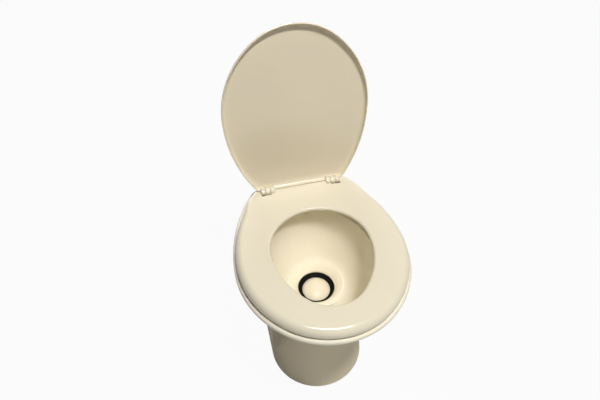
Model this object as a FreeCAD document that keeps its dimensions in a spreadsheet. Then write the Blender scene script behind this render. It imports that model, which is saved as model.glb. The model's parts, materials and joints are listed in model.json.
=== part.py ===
import FreeCAD, Part
import math
import os

import Sketcher
from FreeCAD import Placement, Rotation, Vector

# A low toilet for a motor home: a bowl on a waisted pedestal, a seat and a lid on one hinge line,
# and under the bowl a half-ball valve that a foot pedal turns through a toothed sector.
# Millimetres. The origin is on the floor under the middle of the outlet, the front is -Y, up is +Z.

SIZES = {
    # seat
    "seat_half_width": (181, "half of the width of the seat"),
    "seat_front": (232.5, "outlet axis to the front of the seat"),
    "seat_rear": (163, "outlet axis to the rear edge of the seat"),
    "seat_rear_half": (106, "half width of the seat at its rear edge"),
    "seat_thick": (20, "thickness of the seat"),
    "seat_round": (16.5, "rounding of the upper outer edge of the seat"),
    "seat_under_round": (3, "rounding of the lower edges of the seat"),
    "wide_y": (-36.6, "where seat, lid and rim are widest"),
    "hole_half_width": (107, "half width of the seat opening"),
    "hole_front": (172, "outlet axis to the front of the seat opening"),
    "hole_rear": (78.4, "outlet axis to the rear of the seat opening"),
    "hole_y": (-25.6, "where the seat opening is widest"),
    "hole_round": (5.5, "rounding of the upper edge of the opening"),
    "bumper_height": (8, "height of the rubber bumpers under the seat"),
    "bumper_length": (26, "length of a bumper"),
    "bumper_width": (12, "width of a bumper"),
    # lid
    "lid_half_width": (158, "half of the width of the lid"),
    "lid_front": (224, "outlet axis to the front of the closed lid"),
    "lid_rear": (155, "outlet axis to the rear edge of the closed lid"),
    "lid_rear_half": (100, "half width of the lid at its rear edge"),
    "lid_depth": (14, "height of the lid over its edge"),
    "lid_panel": (4, "thickness of the lid panel"),
    "lid_edge": (2.4, "thickness of the lid edge"),
    "lid_round": (8, "rounding of the outer edge of the lid"),
    "lid_inner_round": (8, "rounding between lid panel and edge"),
    "lid_corner": (9, "cut of the two rear corners of the lid"),
    "lid_gap": (0.5, "gap between closed lid and seat"),
    "web_reach": (3, "reach of a knuckle web past the notch beside it, and wall of that notch"),
    "flap_reach": (5, "reach of the flap of the lid over its hinge"),
    "flap_thick": (3, "thickness of that flap"),
    "lid_open": (98.4, "angle of the open lid, from closed"),
    # hinges
    "hinge_y": (156, "outlet axis to the hinge line"),
    "hinge_x": (77.5, "middle plane to the middle of a hinge post"),
    "knuckle_radius": (9.5, "outside radius of the hinge knuckles"),
    "post_width": (11, "width of a hinge post"),
    "knuckle_width": (10, "width of a seat or lid knuckle"),
    "knuckle_gap": (0.5, "side gap between knuckles"),
    "pin_radius": (4, "radius of the hinge pins"),
    "pin_fit": (0.05, "radial clearance of turning fits"),
    "post_length": (26, "length of a hinge post on the deck"),
    "notch_room": (4, "room in front of the posts in the lid"),
    "bolt_radius": (4, "radius of the hinge bolts"),
    "bolt_reach": (12, "height of the hinge bolts in the posts"),
    "bolt_hole": (5, "radius of the bolt holes in the deck"),
    "wing_radius": (12, "radius of the hinge nuts"),
    "nut_height": (8, "height of the hinge nuts"),
    "washer_radius": (13, "radius of the hinge washers"),
    "washer_thick": (2, "thickness of the hinge washers"),
    # bowl
    "rim_top": (428, "floor to the top of the rim"),
    "rim_depth": (26, "height of the rim"),
    "rim_half_width": (187.5, "half of the width of the rim"),
    "rim_front": (236, "outlet axis to the front of the rim"),
    "rim_rear": (196, "outlet axis to the rear edge of the deck"),
    "rim_rear_half": (106, "half width of the deck at its rear edge"),
    "rim_round": (7, "rounding of the upper edge of the rim"),
    "rim_under_round": (17, "rounding of the lower edge of the rim"),
    "shoulder_inset": (17, "step from the rim in to the bowl under it"),
    "shoulder_rear": (146, "outlet axis to the rear of the bowl under the deck"),
    "belly_z": (340, "height of the middle section of the bowl"),
    "belly_half": (122, "half width of the bowl there"),
    "belly_front": (158, "outlet axis to the front of the bowl there"),
    "belly_rear": (122, "outlet axis to the rear of the bowl there"),
    "foot_z": (284, "height of the foot of the bowl"),
    "foot_half": (84, "half width of the foot"),
    "foot_front": (90, "outlet axis to the front of the foot"),
    "foot_rear": (96, "outlet axis to the rear of the foot"),
    "mouth_half": (114, "half width of the mouth of the bowl"),
    "mouth_front": (186, "outlet axis to the front of the mouth"),
    "mouth_rear": (102, "outlet axis to the rear of the mouth"),
    "mouth_round": (6, "rounding of the edge of the mouth"),
    "wall_z": (392, "height where the inner wall starts to close in"),
    "basin_z": (342, "height of the middle section of the hollow"),
    "basin_half": (89, "half width of the hollow there"),
    "basin_front": (134, "outlet axis to the front of the hollow there"),
    "basin_rear": (81, "outlet axis to the rear of the hollow there"),
    "sump_z": (297, "height of the lower section of the hollow"),
    "sump_half": (66, "half width of the hollow there"),
    "sump_front": (84, "outlet axis to the front of the hollow there"),
    "sump_rear": (63, "outlet axis to the rear of the hollow there"),
    "sump_y": (-8, "middle of the hollow there"),
    "shelf_drop": (10, "height of the soft step round the outlet"),
    "shelf_radius": (51, "radius of the soft step round the outlet"),
    # outlet and ball valve
    "outlet_z": (263.5, "height of the edge of the outlet"),
    "outlet_radius": (44, "radius of the outlet in the bowl"),
    "outlet_lip": (4, "thickness of the bowl at the outlet"),
    "neck_radius": (61, "radius of the neck of the bowl"),
    "seal_radius": (53, "outside radius of the outlet seal"),
    "seal_height": (16.5, "height of the outlet seal"),
    "lip_radius": (33.5, "radius of the lip of the seal"),
    "lip_drop": (7.5, "top of the seal to its lip"),
    "seal_gap": (0.3, "gap between the lip and the ball"),
    "ball_radius": (48, "radius of the half ball"),
    "ball_wall": (6, "wall of the half ball"),
    "ball_edge": (22, "ball axis to the edge of the half ball"),
    "ear_y": (37, "ball axis to the inside of its ears"),
    "ear_thick": (7, "thickness of the ears"),
    "ear_half": (10, "half width of the ears"),
    "house_radius": (53, "inside radius of the valve housing"),
    "house_wall": (4, "wall of the valve housing"),
    "flange_thick": (6, "thickness of the housing flange"),
    "cone_drop": (60, "ball axis to the top of the cone of the housing"),
    "cone_height": (24, "height of the cone of the housing"),
    "pipe_radius": (38, "radius of the drain bore"),
    "boss_radius": (12, "radius of the shaft bosses"),
    "boss_end": (66, "ball axis to the end of a boss"),
    "shaft_radius": (5, "radius of the ball and pedal shafts"),
    "bush_radius": (8, "outside radius of the shaft bushes"),
    "bush_collar": (1.7, "thickness of the collar of a bush"),
    "band_thick": (3, "thickness of the clamp band"),
    "band_height": (16, "height of the clamp band"),
    "band_slit": (9, "gap between the ends of the clamp band"),
    "band_screw": (2.5, "radius of the clamp screw"),
    "ring_height": (12, "height of the floor seal"),
    "ring_width": (16, "width of the floor seal"),
    # gears
    "tooth_module": (4, "module of the teeth"),
    "pinion_teeth": (16, "teeth of the pinion on the ball shaft"),
    "gear_ratio": (3, "turns of the ball for one of the pedal"),
    "sector_teeth": (8, "teeth cut on the sector"),
    "gear_width": (8, "width of both gears"),
    "gear_y": (68.5, "ball axis to the front face of the gears"),
    "mesh_gap": (0.3, "extra distance between the gear shafts"),
    "pedal_x": (68, "middle plane to the pedal shaft"),
    "hub_radius": (12, "radius of the hubs on the pedal shaft"),
    # pedal
    "lever_y": (42, "outlet axis to the front face of the pedal lever"),
    "lever_width": (24, "width of the pedal lever"),
    "lever_thick": (10, "thickness of the pedal lever"),
    "lever_drop": (7, "pedal shaft to the middle of the lever, down"),
    "pad_start": (146, "middle plane to the inner edge of the pedal plate"),
    "pad_end": (204, "middle plane to the outer edge of the pedal plate"),
    "pad_width": (58, "width of the pedal plate"),
    "pad_thick": (8, "thickness of the pedal plate"),
    "pad_corner": (10, "corner radius of the pedal plate"),
    "tread_thick": (3, "thickness of the rubber tread"),
    "tread_inset": (4, "edge of the pedal plate left bare"),
    "slot_margin": (6, "room beside the lever in its slot"),
    "slot_low": (46, "floor to the lower end of the slot"),
    "slot_high": (114, "floor to the upper end of the slot"),
    "bracket_thick": (8, "thickness of a bracket cheek"),
    "bracket_half": (13, "half width of a bracket cheek"),
    "bracket_front": (24, "outlet axis to the front cheek"),
    "bracket_rear": (79, "outlet axis to the rear cheek"),
    "bracket_foot": (6, "thickness of the bracket foot"),
    "screw_radius": (2.5, "radius of the bracket screws"),
    "screw_head": (5, "radius of the screw heads"),
    "spring_x": (98, "middle plane to the return spring"),
    "spring_radius": (7, "mean radius of the return spring"),
    "wire_radius": (1.1, "radius of the spring wire"),
    "spring_turns": (9, "turns of the return spring"),
    # water valve
    "cam_length": (24, "pedal shaft to the tip of the cam"),
    "cam_tip": (5, "radius of the tip of the cam"),
    "cam_width": (8, "width of the cam"),
    "cam_gap": (0.3, "gap between cam and plunger"),
    "plunger_radius": (4, "radius of the valve plunger"),
    "plunger_head": (6.5, "radius of the plunger head"),
    "plunger_length": (38, "length of the valve plunger"),
    "valve_radius": (14, "radius of the water valve"),
    "valve_height": (48, "height of the water valve"),
    "valve_lift": (24, "pedal shaft to the underside of the water valve"),
    "inlet_radius": (10.4, "outside radius of the water inlet"),
    "inlet_length": (34, "valve axis to the end of the inlet"),
    "inlet_bore": (6.5, "bore of the water inlet"),
    "barb_radius": (6, "radius of the hose barbs"),
    "barb_length": (16, "length of the hose barb of the water valve"),
    "ear_reach": (12, "water valve to the post that carries it"),
    "ear_low": (6, "underside of the water valve to its ear"),
    "ear_height": (22, "height of that ear"),
    "stem_width": (8, "width of the stem of the valve post"),
    "stem_depth": (12, "depth of that stem"),
    "stem_foot": (24, "length of the foot of the valve post"),
    "stem_foot_depth": (20, "depth of that foot"),
    "stem_foot_thick": (5, "thickness of that foot"),
    "hose_radius": (8.5, "outside radius of the supply hose"),
    "hose_bend": (34, "bend radius of the supply hose"),
    "breaker_y": (173, "outlet axis to the vacuum breaker"),
    "breaker_radius": (16, "radius of the vacuum breaker"),
    "breaker_height": (44, "height of the vacuum breaker"),
    "passage_drop": (11, "top of the rim to the middle of the water passage"),
    "nozzle_radius": (5, "radius of the rinse nozzle"),
    "nozzle_bore": (3.2, "bore of the rinse nozzle"),
    "nozzle_length": (16, "length of the rinse nozzle"),
    "spigot_reach": (5, "height of the spigot of the vacuum breaker in the deck"),
    "cap_radius": (9, "radius of the air cap of the vacuum breaker"),
    "cap_length": (9, "length of that cap"),
    # pedestal
    "floor_radius": (120.7, "radius of the front of the pedestal on the floor"),
    "floor_y": (-12.8, "middle of that front round"),
    "floor_half": (119, "half width of the rear of the pedestal on the floor"),
    "floor_rear": (128, "outlet axis to the rear of the pedestal on the floor"),
    "neck_front_radius": (90, "radius of the front of the pedestal at its top"),
    "neck_half": (98, "half width of the rear of the pedestal at its top"),
    "neck_rear": (116, "outlet axis to the rear of the pedestal at its top"),
    "corner_radius": (28, "radius of the rear corners"),
    "shell_wall": (4.5, "wall of the pedestal"),
    "plate_thick": (8, "thickness of the floor plate"),
    "deck_thick": (5, "thickness of the top of the pedestal"),
    "deck_hole": (72, "radius of the hole in the top of the pedestal"),
    "scoop_x": (170, "middle plane to the axis of the hollow in each side"),
    "scoop_y": (-20, "middle of the hollow in each side"),
    "scoop_low": (42.5, "radius of that hollow at the floor"),
    "scoop_high": (91, "radius of that hollow higher up"),
    "scoop_height": (150, "height where that hollow stops growing"),
    "access_half": (76, "half width of the opening in the rear"),
    "access_low": (24, "floor to the lower edge of that opening"),
    "access_high": (250, "floor to its upper edge"),
    "floor_hole": (5.5, "radius of the floor bolt holes"),
    "floor_hole_x": (76, "outlet axis to a floor bolt hole"),
    "loose_fit": (0.3, "gap between pieces that do not touch"),
}

doc = FreeCAD.newDocument("toilet")
sheet = doc.addObject("Spreadsheet::Sheet", "Dims")
for row, (alias, (number, note)) in enumerate(SIZES.items(), start=1):
    sheet.set(f"A{row}", note)
    sheet.set(f"B{row}", str(number))
    sheet.setAlias(f"B{row}", alias)
doc.recompute()


class Size:
    """A length that knows both its value and the expression that gives it."""

    def __init__(self, text, value):
        self.text = text
        self.value = value

    def join(self, sign, other, value):
        return Size(f"({self.text} {sign} {other.text})", value)

    def __add__(self, other):
        other = size(other)
        return self.join("+", other, self.value + other.value)

    def __sub__(self, other):
        other = size(other)
        return self.join("-", other, self.value - other.value)

    def __mul__(self, other):
        other = size(other)
        return self.join("*", other, self.value * other.value)

    def __truediv__(self, other):
        other = size(other)
        return self.join("/", other, self.value / other.value)

    def __neg__(self):
        return Size(f"(0 - {self.text})", -self.value)

    def __radd__(self, other):
        return size(other) + self

    def __rsub__(self, other):
        return size(other) - self

    def __rmul__(self, other):
        return size(other) * self


def size(number):
    if isinstance(number, Size):
        return number
    return Size(f"({number!r})", float(number))


def root(number):
    return Size(f"sqrt({number.text})", math.sqrt(number.value))


class Dimensions:
    """Each alias of the sheet as a Size."""

    def __getattr__(self, alias):
        return Size(f"Dims.{alias}", float(sheet.get(alias)))


d = Dimensions()

# Heights and places that several pieces share.
seat_under = d.rim_top + d.bumper_height
seat_top = seat_under + d.seat_thick
hinge_z = seat_top
seal_top = d.outlet_z - d.outlet_lip
seal_base = seal_top - d.seal_height
lip_z = seal_top - d.lip_drop
ball_reach = d.ball_radius + d.seal_gap
ball_z = lip_z - root(ball_reach * ball_reach - d.lip_radius * d.lip_radius)
pinion_pitch = d.tooth_module * d.pinion_teeth / 2
sector_pitch = pinion_pitch * d.gear_ratio
shaft_distance = pinion_pitch + sector_pitch + d.mesh_gap
pedal_z = ball_z - root(shaft_distance * shaft_distance - d.pedal_x * d.pedal_x)
knuckle_reach = d.post_width / 2 + d.knuckle_gap
bracket_end = d.bracket_rear + d.bracket_thick
cam_y = bracket_end + d.loose_fit + 0.7
valve_x = d.pedal_x - d.cam_length
valve_y = cam_y + d.cam_width / 2
valve_z = pedal_z + d.valve_lift
valve_top = valve_z + d.valve_height
lever_z = pedal_z - d.lever_drop
pad_y = d.lever_y + d.lever_width / 2
passage_z = d.rim_top - d.passage_drop
breaker_top = d.rim_top - d.rim_depth
floor_seal_reach = d.pipe_radius + d.house_wall + d.loose_fit + d.ring_width


def bind(thing, path, length):
    thing.setExpression(path, length.text)


def place(thing, x, y, z, turn=None):
    """Put an object at a bound position, turned by a fixed rotation."""
    x, y, z = size(x), size(y), size(z)
    thing.Placement = Placement(Vector(x.value, y.value, z.value), turn or Rotation())
    bind(thing, "Placement.Base.x", x)
    bind(thing, "Placement.Base.y", y)
    bind(thing, "Placement.Base.z", z)
    return thing


TURNS = {
    "z": Rotation(),
    "y": Rotation(Vector(1, 0, 0), -90),
    "x": Rotation(Vector(0, 1, 0), 90),
}


def rod(name, radius, length, x, y, z, along="z"):
    """A cylinder from a point, in the direction of a positive axis."""
    item = doc.addObject("Part::Cylinder", name)
    bind(item, "Radius", size(radius))
    bind(item, "Height", size(length))
    return place(item, x, y, z, TURNS[along])


def block(name, x, y, z, wide, deep, tall):
    """A box from its lowest corner."""
    item = doc.addObject("Part::Box", name)
    bind(item, "Length", size(wide))
    bind(item, "Width", size(deep))
    bind(item, "Height", size(tall))
    return place(item, x, y, z)


def ball(name, radius, z):
    item = doc.addObject("Part::Sphere", name)
    bind(item, "Radius", radius)
    return place(item, 0, 0, z)


def fuse(name, *items):
    item = doc.addObject("Part::MultiFuse", name)
    item.Shapes = list(items)
    item.Refine = True
    return item


def common(name, *items):
    item = doc.addObject("Part::MultiCommon", name)
    item.Shapes = list(items)
    return item


def cut(name, base, *tools):
    item = doc.addObject("Part::Cut", name)
    item.Base = base
    item.Tool = tools[0] if len(tools) == 1 else fuse(name + "_tools", *tools)
    return item


def group(name, *items):
    item = doc.addObject("Part::Compound", name)
    item.Links = list(items)
    return item


def new_body(name):
    return doc.addObject("PartDesign::Body", name)


# Sketch planes: the sign turns a position along the world axis into an offset along the normal.
PLANES = {"XY": ("XY_Plane", 1), "XZ": ("XZ_Plane", -1), "YZ": ("YZ_Plane", 1)}


def new_sketch(body, name, plane, at=0):
    role, sign = PLANES[plane]
    at = size(at)
    sketch = body.newObject("Sketcher::SketchObject", name)
    support = next(item for item in body.Origin.OriginFeatures if item.Role == role)
    sketch.AttachmentSupport = (support, [""])
    sketch.MapMode = "FlatFace"
    bind(sketch, "AttachmentOffset.Base.z", at if sign > 0 else -at)
    return sketch


def fix(sketch, kind, geometry, position, length):
    """Hold one coordinate of a point, on the axis itself where it is zero."""
    if abs(length.value) < 1e-9:
        axis = -2 if kind == "DistanceX" else -1
        sketch.addConstraint(Sketcher.Constraint("PointOnObject", geometry, position, axis))
        return
    number = sketch.addConstraint(
        Sketcher.Constraint(kind, -1, 1, geometry, position, length.value)
    )
    sketch.setExpression(f"Constraints[{number}]", length.text)


def circle(sketch, radius, x=0, y=0):
    x, y, radius = size(x), size(y), size(radius)
    middle = Vector(x.value, y.value, 0)
    number = sketch.addGeometry(Part.Circle(middle, Vector(0, 0, 1), radius.value))
    if x.value == 0 and y.value == 0:
        sketch.addConstraint(Sketcher.Constraint("Coincident", number, 3, -1, 1))
    else:
        fix(sketch, "DistanceX", number, 3, x)
        fix(sketch, "DistanceY", number, 3, y)
    held = sketch.addConstraint(Sketcher.Constraint("Radius", number, radius.value))
    sketch.setExpression(f"Constraints[{held}]", radius.text)


def outline(sketch, points, arcs=None):
    """A closed outline through points. arcs gives the radius of the edges that are round,
    by the number of their first point: positive turns left, negative turns right."""
    arcs = arcs or {}
    points = [(size(x), size(y)) for x, y in points]
    ends = []
    for number, (x, y) in enumerate(points):
        start = Vector(x.value, y.value, 0)
        far = points[(number + 1) % len(points)]
        end = Vector(far[0].value, far[1].value, 0)
        if number not in arcs:
            ends.append((sketch.addGeometry(Part.LineSegment(start, end)), 1, 2))
            continue
        radius = arcs[number]
        bend = abs(radius.value)
        left = 1 if radius.value > 0 else -1
        half = (end - start) * 0.5
        aside = Vector(-half.y, half.x, 0).normalize() * left
        rise = math.sqrt(max(bend * bend - half.Length * half.Length, 0))
        middle = start + half + aside * rise
        angles = [math.atan2(p.y - middle.y, p.x - middle.x) for p in (start, end)]
        if left < 0:
            angles.reverse()
        ring = Part.Circle(middle, Vector(0, 0, 1), bend)
        item = sketch.addGeometry(Part.ArcOfCircle(ring, *angles))
        ends.append((item, 1, 2) if left > 0 else (item, 2, 1))
        held = sketch.addConstraint(Sketcher.Constraint("Radius", item, bend))
        sketch.setExpression(f"Constraints[{held}]", radius.text if left > 0 else (-radius).text)
    for number, (item, first, last) in enumerate(ends):
        after = ends[(number + 1) % len(ends)]
        sketch.addConstraint(Sketcher.Constraint("Coincident", item, last, after[0], after[1]))
        fix(sketch, "DistanceX", item, first, points[number][0])
        fix(sketch, "DistanceY", item, first, points[number][1])


def half_egg(half, long):
    """One end of an egg: where its tip arc meets its side arc, and the two radii.
    The tip has the roundness of an ellipse, and a circle comes out as a circle."""
    q = long * long + 2 * half * long + 2 * half * half
    meet_x = half * half * (long + 2 * half) / q
    meet_y = long * (half + long) * (half + long) / q
    tip = half * half / long
    side = long * (half + long) / (2 * half)
    return meet_x, meet_y, tip, side


def egg(sketch, half, y, front, rear):
    """A closed egg, widest at y, from -front to rear."""
    half, y, front, rear = size(half), size(y), size(front), size(rear)
    fx, fy, f_tip, f_side = half_egg(half, y + front)
    rx, ry, r_tip, r_side = half_egg(half, rear - y)
    points = [(-fx, y - fy), (fx, y - fy), (half, y), (rx, y + ry), (-rx, y + ry), (-half, y)]
    outline(sketch, points, {0: f_tip, 1: f_side, 2: r_side, 3: r_tip, 4: r_side, 5: f_side})


def shield(sketch, half, y, front, rear, rear_half):
    """An egg cut off straight at the rear, as seats and lids are."""
    half, y, front, rear, rear_half = map(size, (half, y, front, rear, rear_half))
    fx, fy, tip, side = half_egg(half, y + front)
    inset = half - rear_half
    back = rear - y
    flank = (inset * inset + back * back) / (2 * inset)
    points = [(-fx, y - fy), (fx, y - fy), (half, y), (rear_half, rear), (-rear_half, rear), (-half, y)]
    outline(sketch, points, {0: tip, 1: side, 2: flank, 4: flank, 5: side})


def rectangle(sketch, x0, y0, x1, y1):
    outline(sketch, [(x0, y0), (x1, y0), (x1, y1), (x0, y1)])


def rounded(sketch, x0, y0, x1, y1, radius):
    x0, y0, x1, y1 = size(x0), size(y0), size(x1), size(y1)
    points = [
        (x0 + radius, y0), (x1 - radius, y0), (x1, y0 + radius), (x1, y1 - radius),
        (x1 - radius, y1), (x0 + radius, y1), (x0, y1 - radius), (x0, y0 + radius),
    ]
    outline(sketch, points, {1: radius, 3: radius, 5: radius, 7: radius})


def feature(body, kind, name, sketch, length=None, backward=False):
    """A pad or pocket of a sketch. backward turns the way that the tool goes by itself."""
    item = body.newObject("PartDesign::" + kind, name)
    item.Profile = sketch
    item.Reversed = backward
    if length is not None:
        bind(item, "Length", size(length))
    sketch.Visibility = False
    doc.recompute()
    return item


def turned(body, kind, name, sketch):
    """A revolution or groove of a sketch about its vertical axis."""
    item = body.newObject("PartDesign::" + kind, name)
    item.Profile = sketch
    item.ReferenceAxis = (sketch, ["V_Axis"])
    item.Angle = 360
    doc.recompute()
    return item


def loft(body, kind, name, sketches, ruled=False):
    item = body.newObject("PartDesign::" + kind, name)
    item.Profile = sketches[0]
    item.Sections = sketches[1:]
    item.Ruled = ruled
    doc.recompute()
    return item


def soften(body, name, test, radius, kind="Fillet"):
    """Round or bevel the edges of a body that pass a test."""
    base = body.Tip
    names = [f"Edge{n}" for n, edge in enumerate(base.Shape.Edges, 1) if test(edge)]
    if not names:
        raise ValueError(f"{name}: no edge found")
    item = body.newObject("PartDesign::" + kind, name)
    item.Base = (base, names)
    bind(item, "Radius" if kind == "Fillet" else "Size", radius)
    doc.recompute()
    return item


def level(z, reach=0.0, least=0.0):
    """A test for edges that lie flat at a height, by how far out they reach."""

    def test(edge):
        box = edge.BoundBox
        far = max(abs(box.XMin), abs(box.XMax), abs(box.YMin), abs(box.YMax))
        flat = abs(box.ZMin - z.value) < 1e-4 and abs(box.ZMax - z.value) < 1e-4
        return flat and (reach == 0 or far < reach) and far > least

    return test


def ring_body(name, points, x=0, y=0, z=0, along="z"):
    """A turned piece from its half section, as (radius, height) points."""
    body = new_body(name)
    sketch = new_sketch(body, name + "_section", "XZ")
    outline(sketch, points)
    turned(body, "Revolution", name + "_turned", sketch)
    place(body, x, y, z, TURNS[along])
    return body


NODES = {}


def node(name, item):
    item.Label = name
    NODES[name] = item
    return item


# Bowl: a lofted body with a rim and a rear deck, hollowed by a second loft down to the outlet.

def make_bowl():
    body = new_body("BowlBody")
    rim_base = d.rim_top - d.rim_depth
    rim = new_sketch(body, "BowlRim", "XY", rim_base)
    shield(rim, d.rim_half_width, d.wide_y, d.rim_front, d.rim_rear, d.rim_rear_half)
    feature(body, "Pad", "BowlRimPad", rim, d.rim_depth)
    soften(body, "BowlCorners", upright(d.rim_rear.value), d.corner_radius)
    soften(body, "BowlRimTop", level(d.rim_top), d.rim_round)
    soften(body, "BowlRimUnder", level(rim_base), d.rim_under_round)

    foot = new_sketch(body, "BowlFoot", "XY", d.foot_z)
    egg(foot, d.foot_half, 0, d.foot_front, d.foot_rear)
    belly = new_sketch(body, "BowlBelly", "XY", d.belly_z)
    egg(belly, d.belly_half, d.hole_y, d.belly_front, d.belly_rear)
    shoulder = new_sketch(body, "BowlShoulder", "XY", rim_base + d.rim_under_round)
    egg(shoulder, d.rim_half_width - d.shoulder_inset, d.wide_y,
        d.rim_front - d.shoulder_inset, d.shoulder_rear)
    loft(body, "AdditiveLoft", "BowlOutside", [foot, belly, shoulder])

    neck = new_sketch(body, "BowlNeck", "XY", seal_base)
    circle(neck, d.neck_radius)
    feature(body, "Pad", "BowlNeckPad", neck, d.foot_z + 12 - seal_base)

    sections = [
        (d.rim_top + 1, d.mouth_half, d.hole_y, d.mouth_front, d.mouth_rear),
        (d.wall_z, d.mouth_half, d.hole_y, d.mouth_front, d.mouth_rear),
        (d.basin_z, d.basin_half, d.hole_y, d.basin_front, d.basin_rear),
        (d.sump_z, d.sump_half, d.sump_y, d.sump_front, d.sump_rear),
        (d.outlet_z + d.shelf_drop, d.shelf_radius, 0, d.shelf_radius, d.shelf_radius),
        (d.outlet_z, d.outlet_radius, 0, d.outlet_radius, d.outlet_radius),
    ]
    hollow = []
    for number, (z, half, y, front, rear) in enumerate(sections):
        sketch = new_sketch(body, f"BowlHollow{number}", "XY", z)
        egg(sketch, half, y, front, rear)
        hollow.append(sketch)
    loft(body, "SubtractiveLoft", "BowlHollowed", hollow)
    soften(body, "BowlMouth", level(d.rim_top, d.mouth_front.value + 12), d.mouth_round)

    seat_of_seal = new_sketch(body, "BowlSealSeat", "XZ")
    bore = d.seal_radius + d.loose_fit
    outline(seat_of_seal, [(0, seal_base), (bore, seal_base), (bore, seal_top),
                           (d.outlet_radius, seal_top), (d.outlet_radius, d.outlet_z + 2),
                           (0, d.outlet_z + 2)])
    turned(body, "Groove", "BowlSealBore", seat_of_seal)

    bolts = new_sketch(body, "BowlBolts", "XY", d.rim_top)
    circle(bolts, d.bolt_hole, d.hinge_x, d.hinge_y)
    circle(bolts, d.bolt_hole, -d.hinge_x, d.hinge_y)
    feature(body, "Pocket", "BowlBoltHoles", bolts, d.rim_depth + 2)
    passage = new_sketch(body, "BowlPassage", "XZ", d.mouth_rear - 12)
    circle(passage, d.nozzle_radius + d.pin_fit, 0, passage_z)
    feature(body, "Pocket", "BowlPassageBore", passage, d.breaker_y + 12 - d.mouth_rear)
    spigot = new_sketch(body, "BowlSpigot", "XY", rim_base)
    circle(spigot, d.nozzle_radius + d.pin_fit, 0, d.breaker_y)
    feature(body, "Pocket", "BowlSpigotBore", spigot, passage_z - rim_base, backward=True)
    return body


def upright(rear):
    """A test for the vertical edges at the rear."""

    def test(edge):
        box = edge.BoundBox
        return box.ZLength > 5 and box.XLength < 1e-4 and abs(box.YMax - rear) < 1e-3

    return test


def outside(edge, reach):
    box = edge.BoundBox
    return max(abs(box.XMin), abs(box.XMax), abs(box.YMin), abs(box.YMax)) > reach


# Pedestal: a hollow casing with a round front, a hollow in each side, a floor plate,
# a top for the bowl, an open rear and a slot for the pedal.

def pedestal_section(body, name, z, radius, y, half, rear, corner, inset=0):
    sketch = new_sketch(body, name, "XY", z)
    radius, half, rear, corner = radius - inset, half - inset, rear - inset, corner - inset
    points = [(-radius, y), (0, y - radius), (radius, y), (half, rear - corner),
              (half - corner, rear), (corner - half, rear), (-half, rear - corner)]
    outline(sketch, points, {0: radius, 1: radius, 3: corner, 5: corner})
    return sketch


def pedestal_loft(name, low, high, inset):
    """The casing between two heights, drawn in by a wall thickness."""
    body = new_body(name)
    share = [(z / d.foot_z) for z in (low, high)]

    def between(floor, top, part):
        return floor + (top - floor) * part

    sketches = []
    for number, (z, part) in enumerate(zip((low, high), share)):
        sketches.append(pedestal_section(
            body, f"{name}Section{number}", z,
            between(d.floor_radius, d.neck_front_radius, part), between(d.floor_y, size(0), part),
            between(d.floor_half, d.neck_half, part), between(d.floor_rear, d.neck_rear, part),
            d.corner_radius, inset))
    loft(body, "AdditiveLoft", name + "Loft", sketches, ruled=True)
    return body


def scoop(name, side, extra):
    """The hollow in one side: a cone that widens upwards, then a cylinder to the top."""
    cone = doc.addObject("Part::Cone", name + "Cone")
    bind(cone, "Radius1", d.scoop_low + extra)
    bind(cone, "Radius2", d.scoop_high + extra)
    bind(cone, "Height", d.scoop_height)
    place(cone, side * d.scoop_x, d.scoop_y, 0)
    tube = rod(name + "Tube", d.scoop_high + extra, d.foot_z, side * d.scoop_x, d.scoop_y,
               d.scoop_height)
    return fuse(name, cone, tube)


def make_pedestal():
    zero = size(0)
    outer = pedestal_loft("CaseOutside", zero, d.foot_z, zero)
    inner = pedestal_loft("CaseInside", d.plate_thick, d.foot_z - d.deck_thick, d.shell_wall)
    scoops = [scoop(f"CaseScoop{side}", side, zero) for side in (-1, 1)]
    walls = [scoop(f"CaseScoopWall{side}", side, d.shell_wall) for side in (-1, 1)]
    hollow = cut("CaseHollow", inner, *walls)
    shape = cut("CaseShape", outer, *scoops)
    rear = d.floor_rear + 2
    openings = [
        hollow,
        rod("CaseDeckHole", d.deck_hole, 2 * d.deck_thick, 0, 0, d.foot_z - 1.5 * d.deck_thick),
        rod("CaseDrainHole", floor_seal_reach + d.loose_fit, 2 * d.plate_thick, 0, 0,
            -(d.plate_thick / 2)),
        rod("CaseBoltHoleA", d.floor_hole, 2 * d.plate_thick, d.floor_hole_x, d.floor_y * 2, -1),
        rod("CaseBoltHoleB", d.floor_hole, 2 * d.plate_thick, -d.floor_hole_x, d.floor_y * 2, -1),
        block("CaseAccess", -d.access_half, d.neck_rear - 3 * d.shell_wall, d.access_low,
              2 * d.access_half, rear - d.neck_rear + 3 * d.shell_wall,
              d.access_high - d.access_low),
        block("CaseSlot", d.neck_half, d.lever_y - d.slot_margin, d.slot_low,
              d.floor_half - d.neck_half + 10, d.lever_width + 2 * d.slot_margin,
              d.slot_high - d.slot_low),
    ]
    return cut("Case", shape, *openings)


# Seat: a ring with rounded edges, hollow below, with notches and knuckles for the hinges.

def knuckle(body, name, start, width, z):
    """A hinge knuckle on each side, with the web that joins it to its part."""
    for side, word in ((1, "Right"), (-1, "Left")):
        sketch = new_sketch(body, name + word, "YZ", start if side > 0 else -start)
        circle(sketch, d.knuckle_radius, d.hinge_y, z)
        feature(body, "Pad", name + word + "Pad", sketch, width, backward=side < 0)


def pin_hole(body, name, z):
    reach = d.hinge_x + knuckle_reach + d.knuckle_width + 3
    sketch = new_sketch(body, name, "YZ", -reach)
    circle(sketch, d.pin_radius + d.pin_fit, d.hinge_y, z)
    feature(body, "Pocket", name + "Bore", sketch, 2 * reach, backward=True)


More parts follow.
